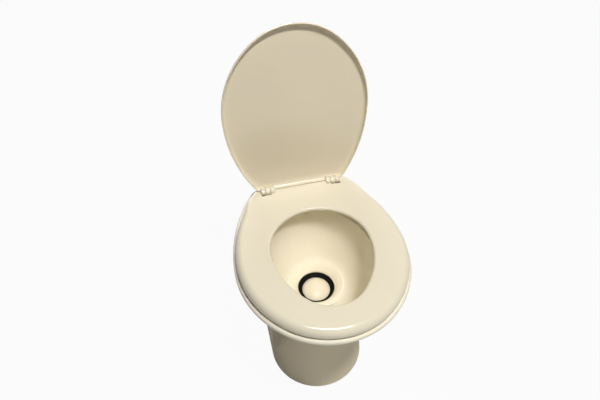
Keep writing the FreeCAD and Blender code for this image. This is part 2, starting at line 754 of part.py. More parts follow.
def make_seat():
    body = new_body("SeatBody")
    ring = new_sketch(body, "SeatOutline", "XY", seat_under)
    shield(ring, d.seat_half_width, d.wide_y, d.seat_front, d.seat_rear, d.seat_rear_half)
    feature(body, "Pad", "SeatPad", ring, d.seat_thick)
    soften(body, "SeatCorners", upright(d.seat_rear.value), d.seat_round)
    hole = new_sketch(body, "SeatHole", "XY", seat_top)
    egg(hole, d.hole_half_width, d.hole_y, d.hole_front, d.hole_rear)
    feature(body, "Pocket", "SeatOpening", hole, d.seat_thick + 1)
    inner = d.hole_front.value + 2
    soften(body, "SeatTopOuter", level(seat_top, 0, inner), d.seat_round)
    soften(body, "SeatTopInner", level(seat_top, inner), d.hole_round)
    soften(body, "SeatUnder", level(seat_under), d.seat_under_round)

    notch = new_sketch(body, "SeatNotches", "XY", seat_under - 1)
    near = d.hinge_x - knuckle_reach
    far = d.hinge_x + knuckle_reach + d.knuckle_width + d.knuckle_gap
    front = d.hinge_y - d.post_length / 2 - 1
    rectangle(notch, near, front, far, d.seat_rear + 2)
    rectangle(notch, -far, front, -near, d.seat_rear + 2)
    feature(body, "Pocket", "SeatNotched", notch, d.seat_thick + 2, backward=True)
    knuckle(body, "SeatKnuckle", near - d.knuckle_width, d.knuckle_width, hinge_z)
    pin_hole(body, "SeatPin", hinge_z)
    return body


def make_bumpers():
    """Four rubber blocks between the seat and the rim."""
    places = []
    for side in (-1, 1):
        places.append((side * (d.hole_half_width + d.seat_half_width) / 2, d.wide_y * 1.6))
        places.append((side * d.hole_half_width * 0.85, d.hole_rear + 18))
    items = []
    for number, (x, y) in enumerate(places):
        items.append(block(f"Bumper{number}", x - d.bumper_width / 2, y - d.bumper_length / 2,
                           d.rim_top, d.bumper_width, d.bumper_length, d.bumper_height))
    return group("Bumpers", *items)


# Lid: a shallow tray, drawn closed and then turned open about the hinge line.

def make_lid():
    body = new_body("LidBody")
    base = seat_top + d.lid_gap
    tray = new_sketch(body, "LidOutline", "XY", base)
    shield(tray, d.lid_half_width, d.wide_y, d.lid_front, d.lid_rear, d.lid_rear_half)
    feature(body, "Pad", "LidPad", tray, d.lid_depth)
    soften(body, "LidCorners", upright(d.lid_rear.value), d.lid_corner, "Chamfer")
    soften(body, "LidTopEdge", level(base + d.lid_depth), d.lid_round)
    inside = new_sketch(body, "LidInside", "XY", base)
    shield(inside, d.lid_half_width - d.lid_edge, d.wide_y, d.lid_front - d.lid_edge,
           d.lid_rear - d.lid_edge, d.lid_rear_half - d.lid_edge - d.lid_corner)
    feature(body, "Pocket", "LidHollow", inside, d.lid_depth - d.lid_panel, backward=True)
    soften(body, "LidInsideRound", level(base + d.lid_depth - d.lid_panel), d.lid_inner_round)

    near = d.hinge_x + knuckle_reach
    notch = new_sketch(body, "LidNotches", "XY", base - 1)
    low = d.hinge_x - knuckle_reach - d.knuckle_width - d.knuckle_gap
    front = d.hinge_y - d.post_length / 2 - d.notch_room
    rectangle(notch, low, front, near, d.lid_rear + 2)
    rectangle(notch, -near, front, -low, d.lid_rear + 2)
    feature(body, "Pocket", "LidNotched", notch, d.lid_depth + 2, backward=True)
    wall = front - d.web_reach
    for side, word in ((1, "Right"), (-1, "Left")):
        web = new_sketch(body, "LidWeb" + word, "YZ", near if side > 0 else -near)
        rectangle(web, wall, base, d.hinge_y, base + d.knuckle_radius - d.lid_gap)
        feature(body, "Pad", "LidWebPad" + word, web, d.knuckle_width, backward=side < 0)
        lip = new_sketch(body, "LidLip" + word, "XY", base)
        inner = low - d.web_reach
        edge = d.lid_rear - d.lid_edge / 2
        corners = ((inner, wall), (near, wall), (near, front), (low, front), (low, edge), (inner, edge))
        outline(lip, [(side * x, y) for x, y in corners])
        feature(body, "Pad", "LidLipPad" + word, lip, d.lid_depth - d.lid_panel / 2)
        flap = new_sketch(body, "LidFlap" + word, "XY", base)
        rectangle(flap, side * low, front - d.web_reach / 2, side * near, front + d.flap_reach)
        feature(body, "Pad", "LidFlapPad" + word, flap, d.flap_thick)
    knuckle(body, "LidKnuckle", near, d.knuckle_width, hinge_z)
    pin_hole(body, "LidPin", hinge_z)
    doc.recompute()
    turn = Rotation(Vector(1, 0, 0), -d.lid_open.value)
    line = Vector(0, d.hinge_y.value, hinge_z.value)
    body.Placement = Placement(line - turn.multVec(line), turn)
    return body


# Hinges: a post on each side of the deck, a pin through post and knuckles, bolt, washer and nut.

def make_post(side, word):
    body = new_body("Post" + word)
    half = d.post_length / 2
    sketch = new_sketch(body, "PostSide" + word, "YZ", side * d.hinge_x - d.post_width / 2)
    r = d.knuckle_radius
    outline(sketch, [(d.hinge_y - half, d.rim_top), (d.hinge_y + half, d.rim_top),
                     (d.hinge_y + r, hinge_z), (d.hinge_y, hinge_z + r), (d.hinge_y - r, hinge_z)],
            {2: r, 3: r})
    feature(body, "Pad", "PostPad" + word, sketch, d.post_width)
    bore = new_sketch(body, "PostPin" + word, "YZ", side * d.hinge_x - d.post_width)
    circle(bore, d.pin_radius + d.pin_fit, d.hinge_y, hinge_z)
    feature(body, "Pocket", "PostPinBore" + word, bore, 2 * d.post_width, backward=True)
    thread = new_sketch(body, "PostBolt" + word, "XY", d.rim_top)
    circle(thread, d.bolt_radius + d.pin_fit, side * d.hinge_x, d.hinge_y)
    feature(body, "Pocket", "PostBoltBore" + word, thread, d.bolt_reach + 0.5, backward=True)
    return body


def hinge_group(name, radius, bottom, height, hole=None):
    """The same turned piece on both hinge bolts."""
    items = []
    for side, word in ((-1, "Left"), (1, "Right")):
        x = side * d.hinge_x
        item = rod(name + word, radius, height, x, d.hinge_y, bottom)
        if hole is not None:
            bore = rod(name + "Bore" + word, hole, height + 2, x, d.hinge_y, bottom - 1)
            item = cut(name + "Ring" + word, item, bore)
        items.append(item)
    return group(name + "s", *items)


# Valve under the bowl: seal, housing with its drain spigot, half ball on two stub shafts.

def make_seal():
    low = d.lip_radius + 10
    return ring_body("Seal", [(low, seal_base), (d.seal_radius, seal_base),
                              (d.seal_radius, seal_top), (d.outlet_radius, seal_top),
                              (d.lip_radius + 1.5, lip_z + 3), (d.lip_radius, lip_z)])


def make_housing():
    body = new_body("Housing")
    section = new_sketch(body, "HousingSection", "XZ")
    cone_top = ball_z - d.cone_drop
    cone_base = cone_top - d.cone_height
    pipe = d.pipe_radius + d.house_wall
    barrel = d.house_radius + d.house_wall
    outline(section, [(d.pipe_radius, size(0)), (pipe, size(0)), (pipe, cone_base),
                      (barrel, cone_top), (barrel, seal_base - d.flange_thick),
                      (d.neck_radius, seal_base - d.flange_thick), (d.neck_radius, seal_base),
                      (d.house_radius, seal_base), (d.house_radius, cone_top),
                      (d.pipe_radius, cone_base)])
    turned(body, "Revolution", "HousingTurned", section)
    start = d.house_radius + d.house_wall / 4
    for side, word in ((1, "Rear"), (-1, "Front")):
        boss = new_sketch(body, "HousingBoss" + word, "XZ", side * start)
        circle(boss, d.boss_radius, 0, ball_z)
        feature(body, "Pad", "HousingBossPad" + word, boss, d.boss_end - start, backward=side > 0)
    bores = new_sketch(body, "HousingBores", "XZ", -d.boss_end - 1)
    circle(bores, d.bush_radius, 0, ball_z)
    feature(body, "Pocket", "HousingBored", bores, 2 * d.boss_end + 2)
    return body


def make_band():
    """A clamp band round the two flanges, with two ears that its screw draws together."""
    r = d.neck_radius
    half = d.band_height / 2
    ring = ring_body("BandRing", [(r, seal_base - half), (r + d.band_thick, seal_base - half),
                                  (r + d.band_thick, seal_base + half), (r, seal_base + half)])
    tabs = block("BandTabs", -d.band_slit / 2 - d.band_thick, -(r + 17), seal_base - half,
                 d.band_slit + 2 * d.band_thick, 17, d.band_height)
    slit = block("BandSlit", -d.band_slit / 2, -(r + 20), seal_base - half - 1,
                 d.band_slit, 24, d.band_height + 2)
    hole = rod("BandHole", d.band_screw + d.pin_fit, 40, -20, -(r + 11), seal_base, "x")
    clear = rod("BandClear", r, d.band_height + 2, 0, 0, seal_base - half - 1)
    return cut("Band", fuse("BandBlank", ring, tabs), slit, hole, clear)


def make_band_screw():
    y = -(d.neck_radius + 11)
    outer = d.band_slit / 2 + d.band_thick
    shank = rod("BandShank", d.band_screw, 2 * outer + 4, -outer - 2, y, seal_base, "x")
    head = rod("BandHead", 2 * d.band_screw, 4, -outer - 4, y, seal_base, "x")
    nut = rod("BandNut", 2 * d.band_screw, 4, outer, y, seal_base, "x")
    return fuse("BandScrew", shank, head, nut)


def make_ball():
    """Half ball: the cap of a hollow ball with an ear down each side to the shafts."""
    top = d.ball_radius + 2
    cap = common("BallCap", ball("BallOuter", d.ball_radius, ball_z),
                 block("BallKeep", -top, -top, ball_z + d.ball_edge, 2 * top, 2 * top, top))
    shell = cut("BallShell", cap, ball("BallInner", d.ball_radius - d.ball_wall, ball_z))
    ears = []
    for side, word in ((1, "Rear"), (-1, "Front")):
        y = d.ear_y if side > 0 else -(d.ear_y + d.ear_thick)
        plate = block("BallEarPlate" + word, -d.ear_half, y, ball_z,
                      2 * d.ear_half, d.ear_thick, d.ball_radius)
        foot = rod("BallEarFoot" + word, d.ear_half, d.ear_thick, 0, y, ball_z, "y")
        ears.append(plate)
        ears.append(foot)
    trim = ball("BallTrim", d.ball_radius - d.loose_fit, ball_z)
    legs = common("BallLegs", fuse("BallEars", *ears), trim)
    whole = fuse("BallWhole", shell, legs)
    bore = rod("BallBore", d.shaft_radius + d.pin_fit, 2 * top, 0, -top, ball_z, "y")
    return cut("Ball", whole, bore)


def make_bush(word, side):
    """A flanged sleeve in a boss of the housing."""
    r = d.shaft_radius + d.pin_fit
    length = d.boss_end - d.house_radius - d.house_wall / 2
    points = [(r, -length), (d.bush_radius, -length), (d.bush_radius, size(0)),
              (d.bush_radius + 3, size(0)), (d.bush_radius + 3, d.bush_collar), (r, d.bush_collar)]
    body = ring_body("Bush" + word, points)
    turn = Rotation(Vector(1, 0, 0), -90 * side)
    return place(body, 0, side * d.boss_end, ball_z, turn)


# Gears: the pinion on the ball shaft and the toothed sector on the pedal shaft.

def tooth(body, name, radius, root_half, tip_half, phase):
    """One tooth on the X axis of a sketch that is then turned by the phase."""
    m = d.tooth_module
    sketch = new_sketch(body, name + "Tooth", "XZ", d.gear_y)
    base = radius - 1.15 * m
    flank = 0.72 * m
    outline(sketch, [(base - 1.5, -root_half), (base, -root_half), (radius, -flank),
                     (radius + 0.8 * m, -tip_half), (radius + 0.8 * m, tip_half),
                     (radius, flank), (base, root_half), (base - 1.5, root_half)])
    spin = Placement(Vector(0, 0, -d.gear_y.value), Rotation(Vector(0, 0, 1), phase))
    sketch.setExpression("AttachmentOffset.Base.z", None)
    sketch.AttachmentOffset = spin
    bind(sketch, "AttachmentOffset.Base.z", -d.gear_y)
    return feature(body, "Pad", name + "ToothPad", sketch, d.gear_width, backward=True)


def pattern(body, name, base, sketch, count, angle):
    item = body.newObject("PartDesign::PolarPattern", name)
    item.Originals = [base]
    item.Axis = (sketch, ["N_Axis"])
    item.Angle = angle
    item.Occurrences = count
    body.Tip = item
    doc.recompute()
    return item


def mesh_angle():
    """Direction from the ball shaft to the pedal shaft, in degrees from the X axis."""
    return math.degrees(math.atan2(pedal_z.value - ball_z.value, d.pedal_x.value))


def make_pinion():
    body = new_body("Pinion")
    m = d.tooth_module
    count = int(d.pinion_teeth.value)
    disc = new_sketch(body, "PinionDisc", "XZ", d.gear_y)
    circle(disc, pinion_pitch - 1.15 * m)
    feature(body, "Pad", "PinionBlank", disc, d.gear_width, backward=True)
    first = tooth(body, "Pinion", pinion_pitch, 0.76 * m, 0.36 * m, mesh_angle() + 180 / count)
    pattern(body, "PinionTeeth", first, disc, count, 360)
    bore = new_sketch(body, "PinionBore", "XZ", d.gear_y - 1)
    circle(bore, d.shaft_radius + d.pin_fit)
    feature(body, "Pocket", "PinionBored", bore, d.gear_width + 2)
    return place(body, 0, 0, ball_z)


def make_sector():
    body = new_body("Sector")
    m = d.tooth_module
    count = int(d.sector_teeth.value)
    step = 360 / (d.pinion_teeth.value * d.gear_ratio.value)
    inner = sector_pitch - 1.15 * m
    first_angle = mesh_angle() + 180 - step
    low = math.radians(first_angle - step / 2)
    high = math.radians(first_angle + (count - 0.5) * step)
    plate = new_sketch(body, "SectorPlate", "XZ", d.gear_y)
    hub = d.hub_radius
    points = [(inner * math.cos(low), inner * math.sin(low)),
              (inner * math.cos(high), inner * math.sin(high)),
              (hub * math.cos(high + 1.1), hub * math.sin(high + 1.1)),
              (hub * math.cos(low - 1.1), hub * math.sin(low - 1.1))]
    outline(plate, points, {0: inner})
    feature(body, "Pad", "SectorBlank", plate, d.gear_width, backward=True)
    hub_disc = new_sketch(body, "SectorHub", "XZ", d.gear_y)
    circle(hub_disc, hub)
    feature(body, "Pad", "SectorHubPad", hub_disc, d.gear_width, backward=True)
    mid = (low + high) / 2
    window = new_sketch(body, "SectorWindow", "XZ", d.gear_y - 1)
    circle(window, 0.15 * sector_pitch, 0.6 * sector_pitch * math.cos(mid),
           0.6 * sector_pitch * math.sin(mid))
    feature(body, "Pocket", "SectorLightened", window, d.gear_width + 2)
    first = tooth(body, "Sector", sector_pitch, 0.96 * m, 0.38 * m, first_angle)
    pattern(body, "SectorTeeth", first, hub_disc, count, step * (count - 1))
    bore = new_sketch(body, "SectorBore", "XZ", d.gear_y - 1)
    circle(bore, d.shaft_radius + d.pin_fit)
    feature(body, "Pocket", "SectorBored", bore, d.gear_width + 2)
    return place(body, d.pedal_x, 0, pedal_z)


# Pedal: lever with its plate, rubber tread, shaft, bracket and return spring.

def make_lever():
    body = new_body("Lever")
    hub = new_sketch(body, "LeverHub", "XZ", d.lever_y)
    circle(hub, d.hub_radius, d.pedal_x, pedal_z)
    feature(body, "Pad", "LeverHubPad", hub, d.lever_width, backward=True)
    arm = new_sketch(body, "LeverArm", "XZ", d.lever_y)
    rectangle(arm, d.pedal_x, lever_z - d.lever_thick / 2, d.pad_start + 6, lever_z + d.lever_thick / 2)
    feature(body, "Pad", "LeverArmPad", arm, d.lever_width, backward=True)
    plate = new_sketch(body, "LeverPlate", "XY", lever_z - d.pad_thick / 2)
    rounded(plate, d.pad_start, pad_y - d.pad_width / 2, d.pad_end, pad_y + d.pad_width / 2, d.pad_corner)
    feature(body, "Pad", "LeverPlatePad", plate, d.pad_thick)
    bore = new_sketch(body, "LeverBore", "XZ", d.lever_y - 1)
    circle(bore, d.shaft_radius + d.pin_fit, d.pedal_x, pedal_z)
    feature(body, "Pocket", "LeverBored", bore, d.lever_width + 2)
    return body


def make_tread():
    """A rubber tread with raised bars on the pedal plate."""
    body = new_body("Tread")
    top = lever_z + d.pad_thick / 2
    low = d.pad_start + d.tread_inset + 6
    high = d.pad_end - d.tread_inset
    side = d.pad_width / 2 - d.tread_inset
    mat = new_sketch(body, "TreadMat", "XY", top)
    rounded(mat, low, pad_y - side, high, pad_y + side, d.pad_corner - d.tread_inset)
    feature(body, "Pad", "TreadMatPad", mat, d.tread_thick)
    bars = new_sketch(body, "TreadBars", "XY", top + d.tread_thick)
    count = 5
    pitch = (high - low) / count
    for number in range(count):
        start = low + pitch * (number + 0.3)
        rectangle(bars, start, pad_y - side + 6, start + pitch * 0.4, pad_y + side - 6)
    feature(body, "Pad", "TreadBarsPad", bars, d.tread_thick / 2)
    return body


def make_bracket():
    """Two cheeks on a foot that stands on the floor plate and carries the pedal shaft."""
    half = d.bracket_half
    foot_z = d.plate_thick
    length = bracket_end - d.bracket_front
    parts = [block("BracketFoot", d.pedal_x - half, d.bracket_front, foot_z, 2 * half, length,
                   d.bracket_foot)]
    bores = []
    for word, y in (("Front", d.bracket_front), ("Rear", d.bracket_rear)):
        parts.append(block("BracketCheek" + word, d.pedal_x - half, y, foot_z, 2 * half,
                           d.bracket_thick, pedal_z - foot_z))
        parts.append(rod("BracketTop" + word, half, d.bracket_thick, d.pedal_x, y, pedal_z, "y"))
        bores.append(rod("BracketBore" + word, d.shaft_radius + d.pin_fit, d.bracket_thick + 2,
                         d.pedal_x, y - 1, pedal_z, "y"))
    for number, y in enumerate(bracket_screw_places()):
        bores.append(rod(f"BracketHole{number}", d.screw_radius + d.pin_fit, d.bracket_foot + 2,
                         d.pedal_x, y, foot_z - 1))
    return cut("Bracket", fuse("BracketBlank", *parts), *bores)


def bracket_screw_places():
    gap = d.bracket_rear - d.bracket_front - d.bracket_thick
    start = d.bracket_front + d.bracket_thick
    return [start + gap * 0.2, start + gap * 0.8]


def make_bracket_screws():
    items = []
    for number, y in enumerate(bracket_screw_places()):
        top = d.plate_thick + d.bracket_foot
        shank = rod(f"ScrewShank{number}", d.screw_radius, d.bracket_foot + 2, d.pedal_x, y,
                    d.plate_thick)
        head = rod(f"ScrewHead{number}", d.screw_head, 3, d.pedal_x, y, top)
        items.append(fuse(f"Screw{number}", shank, head))
    return group("Screws", *items)


def make_spring():
    """A compression spring between the floor plate and the lever, swept along arcs of a helix."""
    end = d.wire_radius.value + d.loose_fit.value
    low = d.plate_thick.value + end
    high = lever_z.value - d.lever_thick.value / 2 - end
    radius = d.spring_radius.value
    turns = int(d.spring_turns.value)
    steps = turns * 4
    middle = Vector(d.spring_x.value, pad_y.value, 0)

    def point(part):
        angle = 2 * math.pi * turns * part
        return middle + Vector(radius * math.cos(angle), radius * math.sin(angle),
                               low + (high - low) * part)

    edges = []
    for number in range(steps):
        a, b, c = (point((number + share) / steps) for share in (0, 0.5, 1))
        edges.append(Part.Arc(a, b, c).toShape())
    path = Part.Wire(edges)
    tangent = edges[0].tangentAt(edges[0].FirstParameter)
    section = Part.Wire(Part.Circle(point(0), tangent, d.wire_radius.value).toShape())
    item = doc.addObject("Part::Feature", "Spring")
    item.Shape = path.makePipeShell([section], True, False)
    pitch = (high - low) / turns
    print("spring gap between turns", round(pitch - 2 * d.wire_radius.value, 2))
    return item


# Water side: cam on the pedal shaft, valve with plunger, hose, vacuum breaker and flush tube.

def make_cam():
    body = new_body("Cam")
    sketch = new_sketch(body, "CamArm", "XZ", cam_y)
    slim = d.cam_tip * 0.7
    rectangle(sketch, d.pedal_x - d.cam_length, pedal_z - slim, d.pedal_x, pedal_z + slim)
    feature(body, "Pad", "CamArmPad", sketch, d.cam_width, backward=True)
    for word, radius, x in (("Hub", d.shaft_radius + 4, d.pedal_x), ("Tip", d.cam_tip, valve_x)):
        round_end = new_sketch(body, "Cam" + word, "XZ", cam_y)
        circle(round_end, radius, x, pedal_z)
        feature(body, "Pad", f"Cam{word}Pad", round_end, d.cam_width, backward=True)
    bore = new_sketch(body, "CamBore", "XZ", cam_y - 1)
    circle(bore, d.shaft_radius + d.pin_fit, d.pedal_x, pedal_z)
    feature(body, "Pocket", "CamBored", bore, d.cam_width + 2)
    return body


def make_plunger():
    base = pedal_z + d.cam_tip + d.cam_gap
    return ring_body("Plunger", [(0, base), (d.plunger_head, base), (d.plunger_head, base + 3),
                                 (d.plunger_radius, base + 3),
                                 (d.plunger_radius, base + d.plunger_length),
                                 (0, base + d.plunger_length)], valve_x, valve_y)


def make_valve():
    """Valve body with an inlet to the rear, an outlet barb on top and a bore for the plunger."""
    middle = valve_z + d.valve_height * 0.45
    body = rod("ValveBarrel", d.valve_radius, d.valve_height, valve_x, valve_y, valve_z)
    collar = rod("ValveCollar", d.inlet_radius + 2.5, d.valve_radius + 6, valve_x, valve_y, middle, "y")
    inlet = rod("ValveInlet", d.inlet_radius, d.inlet_length, valve_x, valve_y, middle, "y")
    barb = rod("ValveBarb", d.barb_radius, d.barb_length, valve_x, valve_y, valve_top)
    ear = block("ValveEar", valve_x - d.valve_radius - d.ear_reach, valve_y - d.stem_depth / 4,
                valve_z + d.ear_low, d.ear_reach + 2, d.stem_depth / 2, d.ear_height)
    bore = rod("ValveBore", d.plunger_radius + d.pin_fit, d.valve_height - 6, valve_x, valve_y,
               valve_z - 1)
    outlet = rod("ValveOutlet", d.nozzle_bore, d.barb_length + 10, valve_x, valve_y, valve_top - 9)
    water = rod("ValveWater", d.inlet_bore, d.inlet_length + 1, valve_x, valve_y, middle, "y")
    return cut("Valve", fuse("ValveBlank", body, collar, inlet, barb, ear), bore, outlet, water)


def make_valve_post():
    """A post on the floor plate that carries the water valve."""
    x = valve_x - d.valve_radius - d.ear_reach
    height = valve_z + d.ear_low + d.ear_height - d.plate_thick
    stem = block("ValvePostStem", x - d.stem_width, valve_y - d.stem_depth / 2, d.plate_thick,
                 d.stem_width, d.stem_depth, height)
    foot = block("ValvePostFoot", x - d.stem_foot, valve_y - d.stem_foot_depth / 2, d.plate_thick,
                 d.stem_foot, d.stem_foot_depth, d.stem_foot_thick)
    return fuse("ValvePost", stem, foot)


def hose_points():
    """Corners of the hose: up from the valve, back, up, and over to the vacuum breaker."""
    low = valve_top + 2
    entry = breaker_top - d.breaker_height - 2
    return [Vector(valve_x.value, valve_y.value, low.value),
            Vector(valve_x.value, valve_y.value, low.value + 26),
            Vector(valve_x.value * 0.6, d.breaker_y.value - 12, low.value + 70),
            Vector(0, d.breaker_y.value, entry.value - 40),
            Vector(0, d.breaker_y.value, entry.value)]


def rounded_path(corners, bend):
    """Lines through corners, each corner turned with an arc."""
    edges = []
    start = corners[0]
    for before, corner, after in zip(corners, corners[1:], corners[2:]):
        back = (before - corner).normalize()
        on = (after - corner).normalize()
        half = math.acos(max(-1.0, min(1.0, back.dot(on)))) / 2
        reach = min(bend / math.tan(half), 0.48 * (before - corner).Length, 0.48 * (after - corner).Length)
        radius = reach * math.tan(half)
        middle = corner + (back + on).normalize() * (radius / math.sin(half))
        crown = middle + (corner - middle).normalize() * radius
        first, last = corner + back * reach, corner + on * reach
        edges.append(Part.LineSegment(start, first).toShape())
        edges.append(Part.Arc(first, crown, last).toShape())
        start = last
    edges.append(Part.LineSegment(start, corners[-1]).toShape())
    return Part.Wire(edges)


def make_hose():
    path = rounded_path(hose_points(), d.hose_bend.value)
    start = hose_points()[0]
    shapes = []
    for radius in (d.hose_radius.value, d.barb_radius.value + d.loose_fit.value):
        section = Part.Wire(Part.Circle(start, Vector(0, 0, 1), radius).toShape())
        shapes.append(path.makePipeShell([section], True, False))
    item = doc.addObject("Part::Feature", "Hose")
    item.Shape = shapes[0].cut(shapes[1])
    return item


def make_hose_clamps():
    r = d.hose_radius
    low = valve_top + 5
    high = breaker_top - d.breaker_height - 14
    points = [(r, size(0)), (r + 1.2, size(0)), (r + 1.2, size(9)), (r, size(9))]
    return group("HoseClamps", ring_body("HoseClampLow", points, valve_x, valve_y, low),
                 ring_body("HoseClampHigh", points, 0, d.breaker_y, high))


def make_breaker():
    """Vacuum breaker under the deck: a turned housing with a barb below and a spigot on top."""
    base = breaker_top - d.breaker_height
    r = d.breaker_radius
    tip = breaker_top + d.spigot_reach
    body = ring_body("BreakerTurned", [(d.nozzle_bore, base - 18), (d.barb_radius, base - 18),
                                       (d.barb_radius, base), (r - 4, base), (r, base + 5),
                                       (r, breaker_top), (d.nozzle_radius, breaker_top),
                                       (d.nozzle_radius, tip), (d.nozzle_bore, tip)], 0, d.breaker_y)
    stub = rod("BreakerStub", d.cap_radius - 2, r + 3, 0, d.breaker_y,
               breaker_top - d.breaker_height / 2, "y")
    bore = rod("BreakerBore", d.nozzle_bore, r + 4, 0, d.breaker_y,
               breaker_top - d.breaker_height / 2, "y")
    return cut("Breaker", fuse("BreakerBlank", body, stub), bore)


def make_breaker_cap():
    """Air cap on the stub of the vacuum breaker."""
    r = d.cap_radius
    stub = r - 2 + d.pin_fit
    points = [(0, size(3)), (stub, size(3)), (stub, size(0)), (r, size(0)),
              (r, d.cap_length - 1.5), (r - 1.5, d.cap_length), (0, d.cap_length)]
    return ring_body("BreakerCap", points, 0, d.breaker_y + d.breaker_radius,
                     breaker_top - d.breaker_height / 2, "y")


def make_nozzle():
    """Rinse nozzle in the mouth of the water passage, at the rear wall of the bowl."""
    start = d.mouth_rear - 1
    tube = rod("NozzleTube", d.nozzle_radius, d.nozzle_length, 0, start, passage_z, "y")
    bore = rod("NozzleBore", d.nozzle_bore, d.nozzle_length + 2, 0, start - 1, passage_z, "y")
    return cut("Nozzle", tube, bore)


def make_floor_seal():
    r = d.pipe_radius + d.house_wall + d.loose_fit
    points = [(r, size(0)), (floor_seal_reach, size(0)), (floor_seal_reach, d.ring_height - 3),
              (floor_seal_reach - 4, d.ring_height), (r, d.ring_height)]
    return ring_body("FloorSeal", points)


node("bowl", make_bowl())
node("pedestal", make_pedestal())
node("seat", make_seat())
node("seat_bumpers", make_bumpers())
node("lid", make_lid())
for side, word in ((-1, "left"), (1, "right")):
    title = word.capitalize()
    node(f"hinge_post_{word}", make_post(side, title))
    reach = knuckle_reach + d.knuckle_width + 1
    middle = d.hinge_x if side > 0 else -d.hinge_x
    node(f"hinge_pin_{word}",
         rod("HingePin" + title, d.pin_radius, 2 * reach, middle - reach, d.hinge_y, hinge_z, "x"))
deck_under = d.rim_top - d.rim_depth
nut_top = deck_under - d.washer_thick
bolt_low = nut_top - d.nut_height - 6
node("hinge_bolts", hinge_group("HingeBolt", d.bolt_radius, bolt_low, d.rim_top + d.bolt_reach - bolt_low))
node("hinge_washers", hinge_group("HingeWasher", d.washer_radius, nut_top, d.washer_thick,
                                  d.bolt_radius + d.pin_fit))
node("hinge_nuts", hinge_group("HingeNut", d.wing_radius, nut_top - d.nut_height, d.nut_height,
                               d.bolt_radius + d.pin_fit))
node("outlet_seal", make_seal())
node("valve_housing", make_housing())
node("clamp_band", make_band())
node("clamp_screw", make_band_screw())
node("floor_seal", make_floor_seal())
node("flush_ball", make_ball())
shaft_start = d.ear_y
node("ball_drive_shaft", rod("DriveShaft", d.shaft_radius, d.gear_y + d.gear_width + 2 - shaft_start,
                             0, shaft_start, ball_z, "y"))
pin_end = d.boss_end + d.bush_collar + 2
node("ball_pivot_pin", rod("PivotPin", d.shaft_radius, pin_end - shaft_start, 0, -pin_end, ball_z, "y"))
node("shaft_bush_rear", make_bush("Rear", 1))
node("shaft_bush_front", make_bush("Front", -1))
node("ball_pinion", make_pinion())
node("sector_gear", make_sector())
shaft_front = d.bracket_front - 2
node("pedal_shaft", rod("PedalShaft", d.shaft_radius, cam_y + d.cam_width - shaft_front, d.pedal_x,
                        shaft_front, pedal_z, "y"))
node("pedal_lever", make_lever())
node("pedal_tread", make_tread())
node("pedal_bracket", make_bracket())
node("bracket_screws", make_bracket_screws())
node("return_spring", make_spring())
node("valve_cam", make_cam())
node("valve_plunger", make_plunger())
node("water_valve", make_valve())
node("valve_post", make_valve_post())
node("supply_hose", make_hose())
node("hose_clamps", make_hose_clamps())
node("vacuum_breaker", make_breaker())
node("breaker_cap", make_breaker_cap())
node("rinse_nozzle", make_nozzle())

doc.recompute()
faults = []
for item in doc.Objects:
    if "Invalid" in item.State or "Error" in item.State:
        faults.append(item.Name)
for name, item in NODES.items():
    shape = item.Shape
    if shape.isNull() or not shape.isValid() or shape.Volume <= 0:
        faults.append("shape of " + name)
if faults:
    raise RuntimeError("not built: " + ", ".join(faults))
os.makedirs("parts", exist_ok=True)
for name, item in NODES.items():
    item.Shape.exportStep(f"parts/{name}.step")
print(len(NODES), "nodes, hinge", hinge_z.value, "ball", round(ball_z.value, 2), "pedal", round(pedal_z.value, 2))
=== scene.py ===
"""Looks of a camper toilet: shells, finishes, floor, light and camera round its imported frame."""
import json

import bmesh
import bpy
import numpy as np
from mathutils import Matrix, Vector


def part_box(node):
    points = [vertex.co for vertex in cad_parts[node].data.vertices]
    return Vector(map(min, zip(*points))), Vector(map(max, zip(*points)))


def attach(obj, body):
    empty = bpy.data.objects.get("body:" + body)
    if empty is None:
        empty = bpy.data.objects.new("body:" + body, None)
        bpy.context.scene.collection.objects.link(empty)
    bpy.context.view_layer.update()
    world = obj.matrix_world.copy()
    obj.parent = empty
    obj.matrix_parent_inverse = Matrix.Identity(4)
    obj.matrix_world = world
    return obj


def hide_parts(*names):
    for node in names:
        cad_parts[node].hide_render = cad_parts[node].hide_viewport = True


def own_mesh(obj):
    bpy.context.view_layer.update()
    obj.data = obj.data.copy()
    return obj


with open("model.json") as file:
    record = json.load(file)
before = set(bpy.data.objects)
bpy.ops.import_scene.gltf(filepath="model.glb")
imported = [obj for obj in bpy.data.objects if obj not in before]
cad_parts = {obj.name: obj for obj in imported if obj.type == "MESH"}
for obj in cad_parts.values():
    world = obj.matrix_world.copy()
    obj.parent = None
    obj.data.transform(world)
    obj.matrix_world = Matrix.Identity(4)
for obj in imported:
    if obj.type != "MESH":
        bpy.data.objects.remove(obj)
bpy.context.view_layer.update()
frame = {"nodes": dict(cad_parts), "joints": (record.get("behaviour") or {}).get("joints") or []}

bl_info = {
    "name": "Camper toilet",
    "version": (1, 0, 0),
    "blender": (4, 5, 0),
    "location": "View3D > Sidebar > Toilet",
    "description": "Builds the shells, finishes and stage of a camper toilet round its frame",
    "category": "Object",
}

NODES = frame["nodes"]
HINGE = next(Vector(j["pos_m"]) for j in frame["joints"] if j["name"] == "seat_hinge")
LID_OPEN = next(np.radians(j["range_deg"][1]) for j in frame["joints"] if j["name"] == "lid_hinge")

# Points round each moulded outline, and the share of it where the rows round its middle begin.
COLUMNS = 480
HUB = 0.03

# Key outlines of the bowl, inside from the outlet up and outside from the rim down: half width,
# place of the widest point along Y, front, rear, and height over the floor.
FUNNEL = ((0.044, 0, 0.044, 0.044, 0.2635), (0.051, 0, 0.051, 0.051, 0.2735),
          (0.071, -0.008, 0.088, 0.067, 0.290), (0.095, -0.0256, 0.128, 0.086, 0.328),
          (0.109, -0.0256, 0.160, 0.098, 0.364))
BELLY = ((0.122, -0.0256, 0.158, 0.122, 0.340), (0.084, 0, 0.090, 0.096, 0.284))

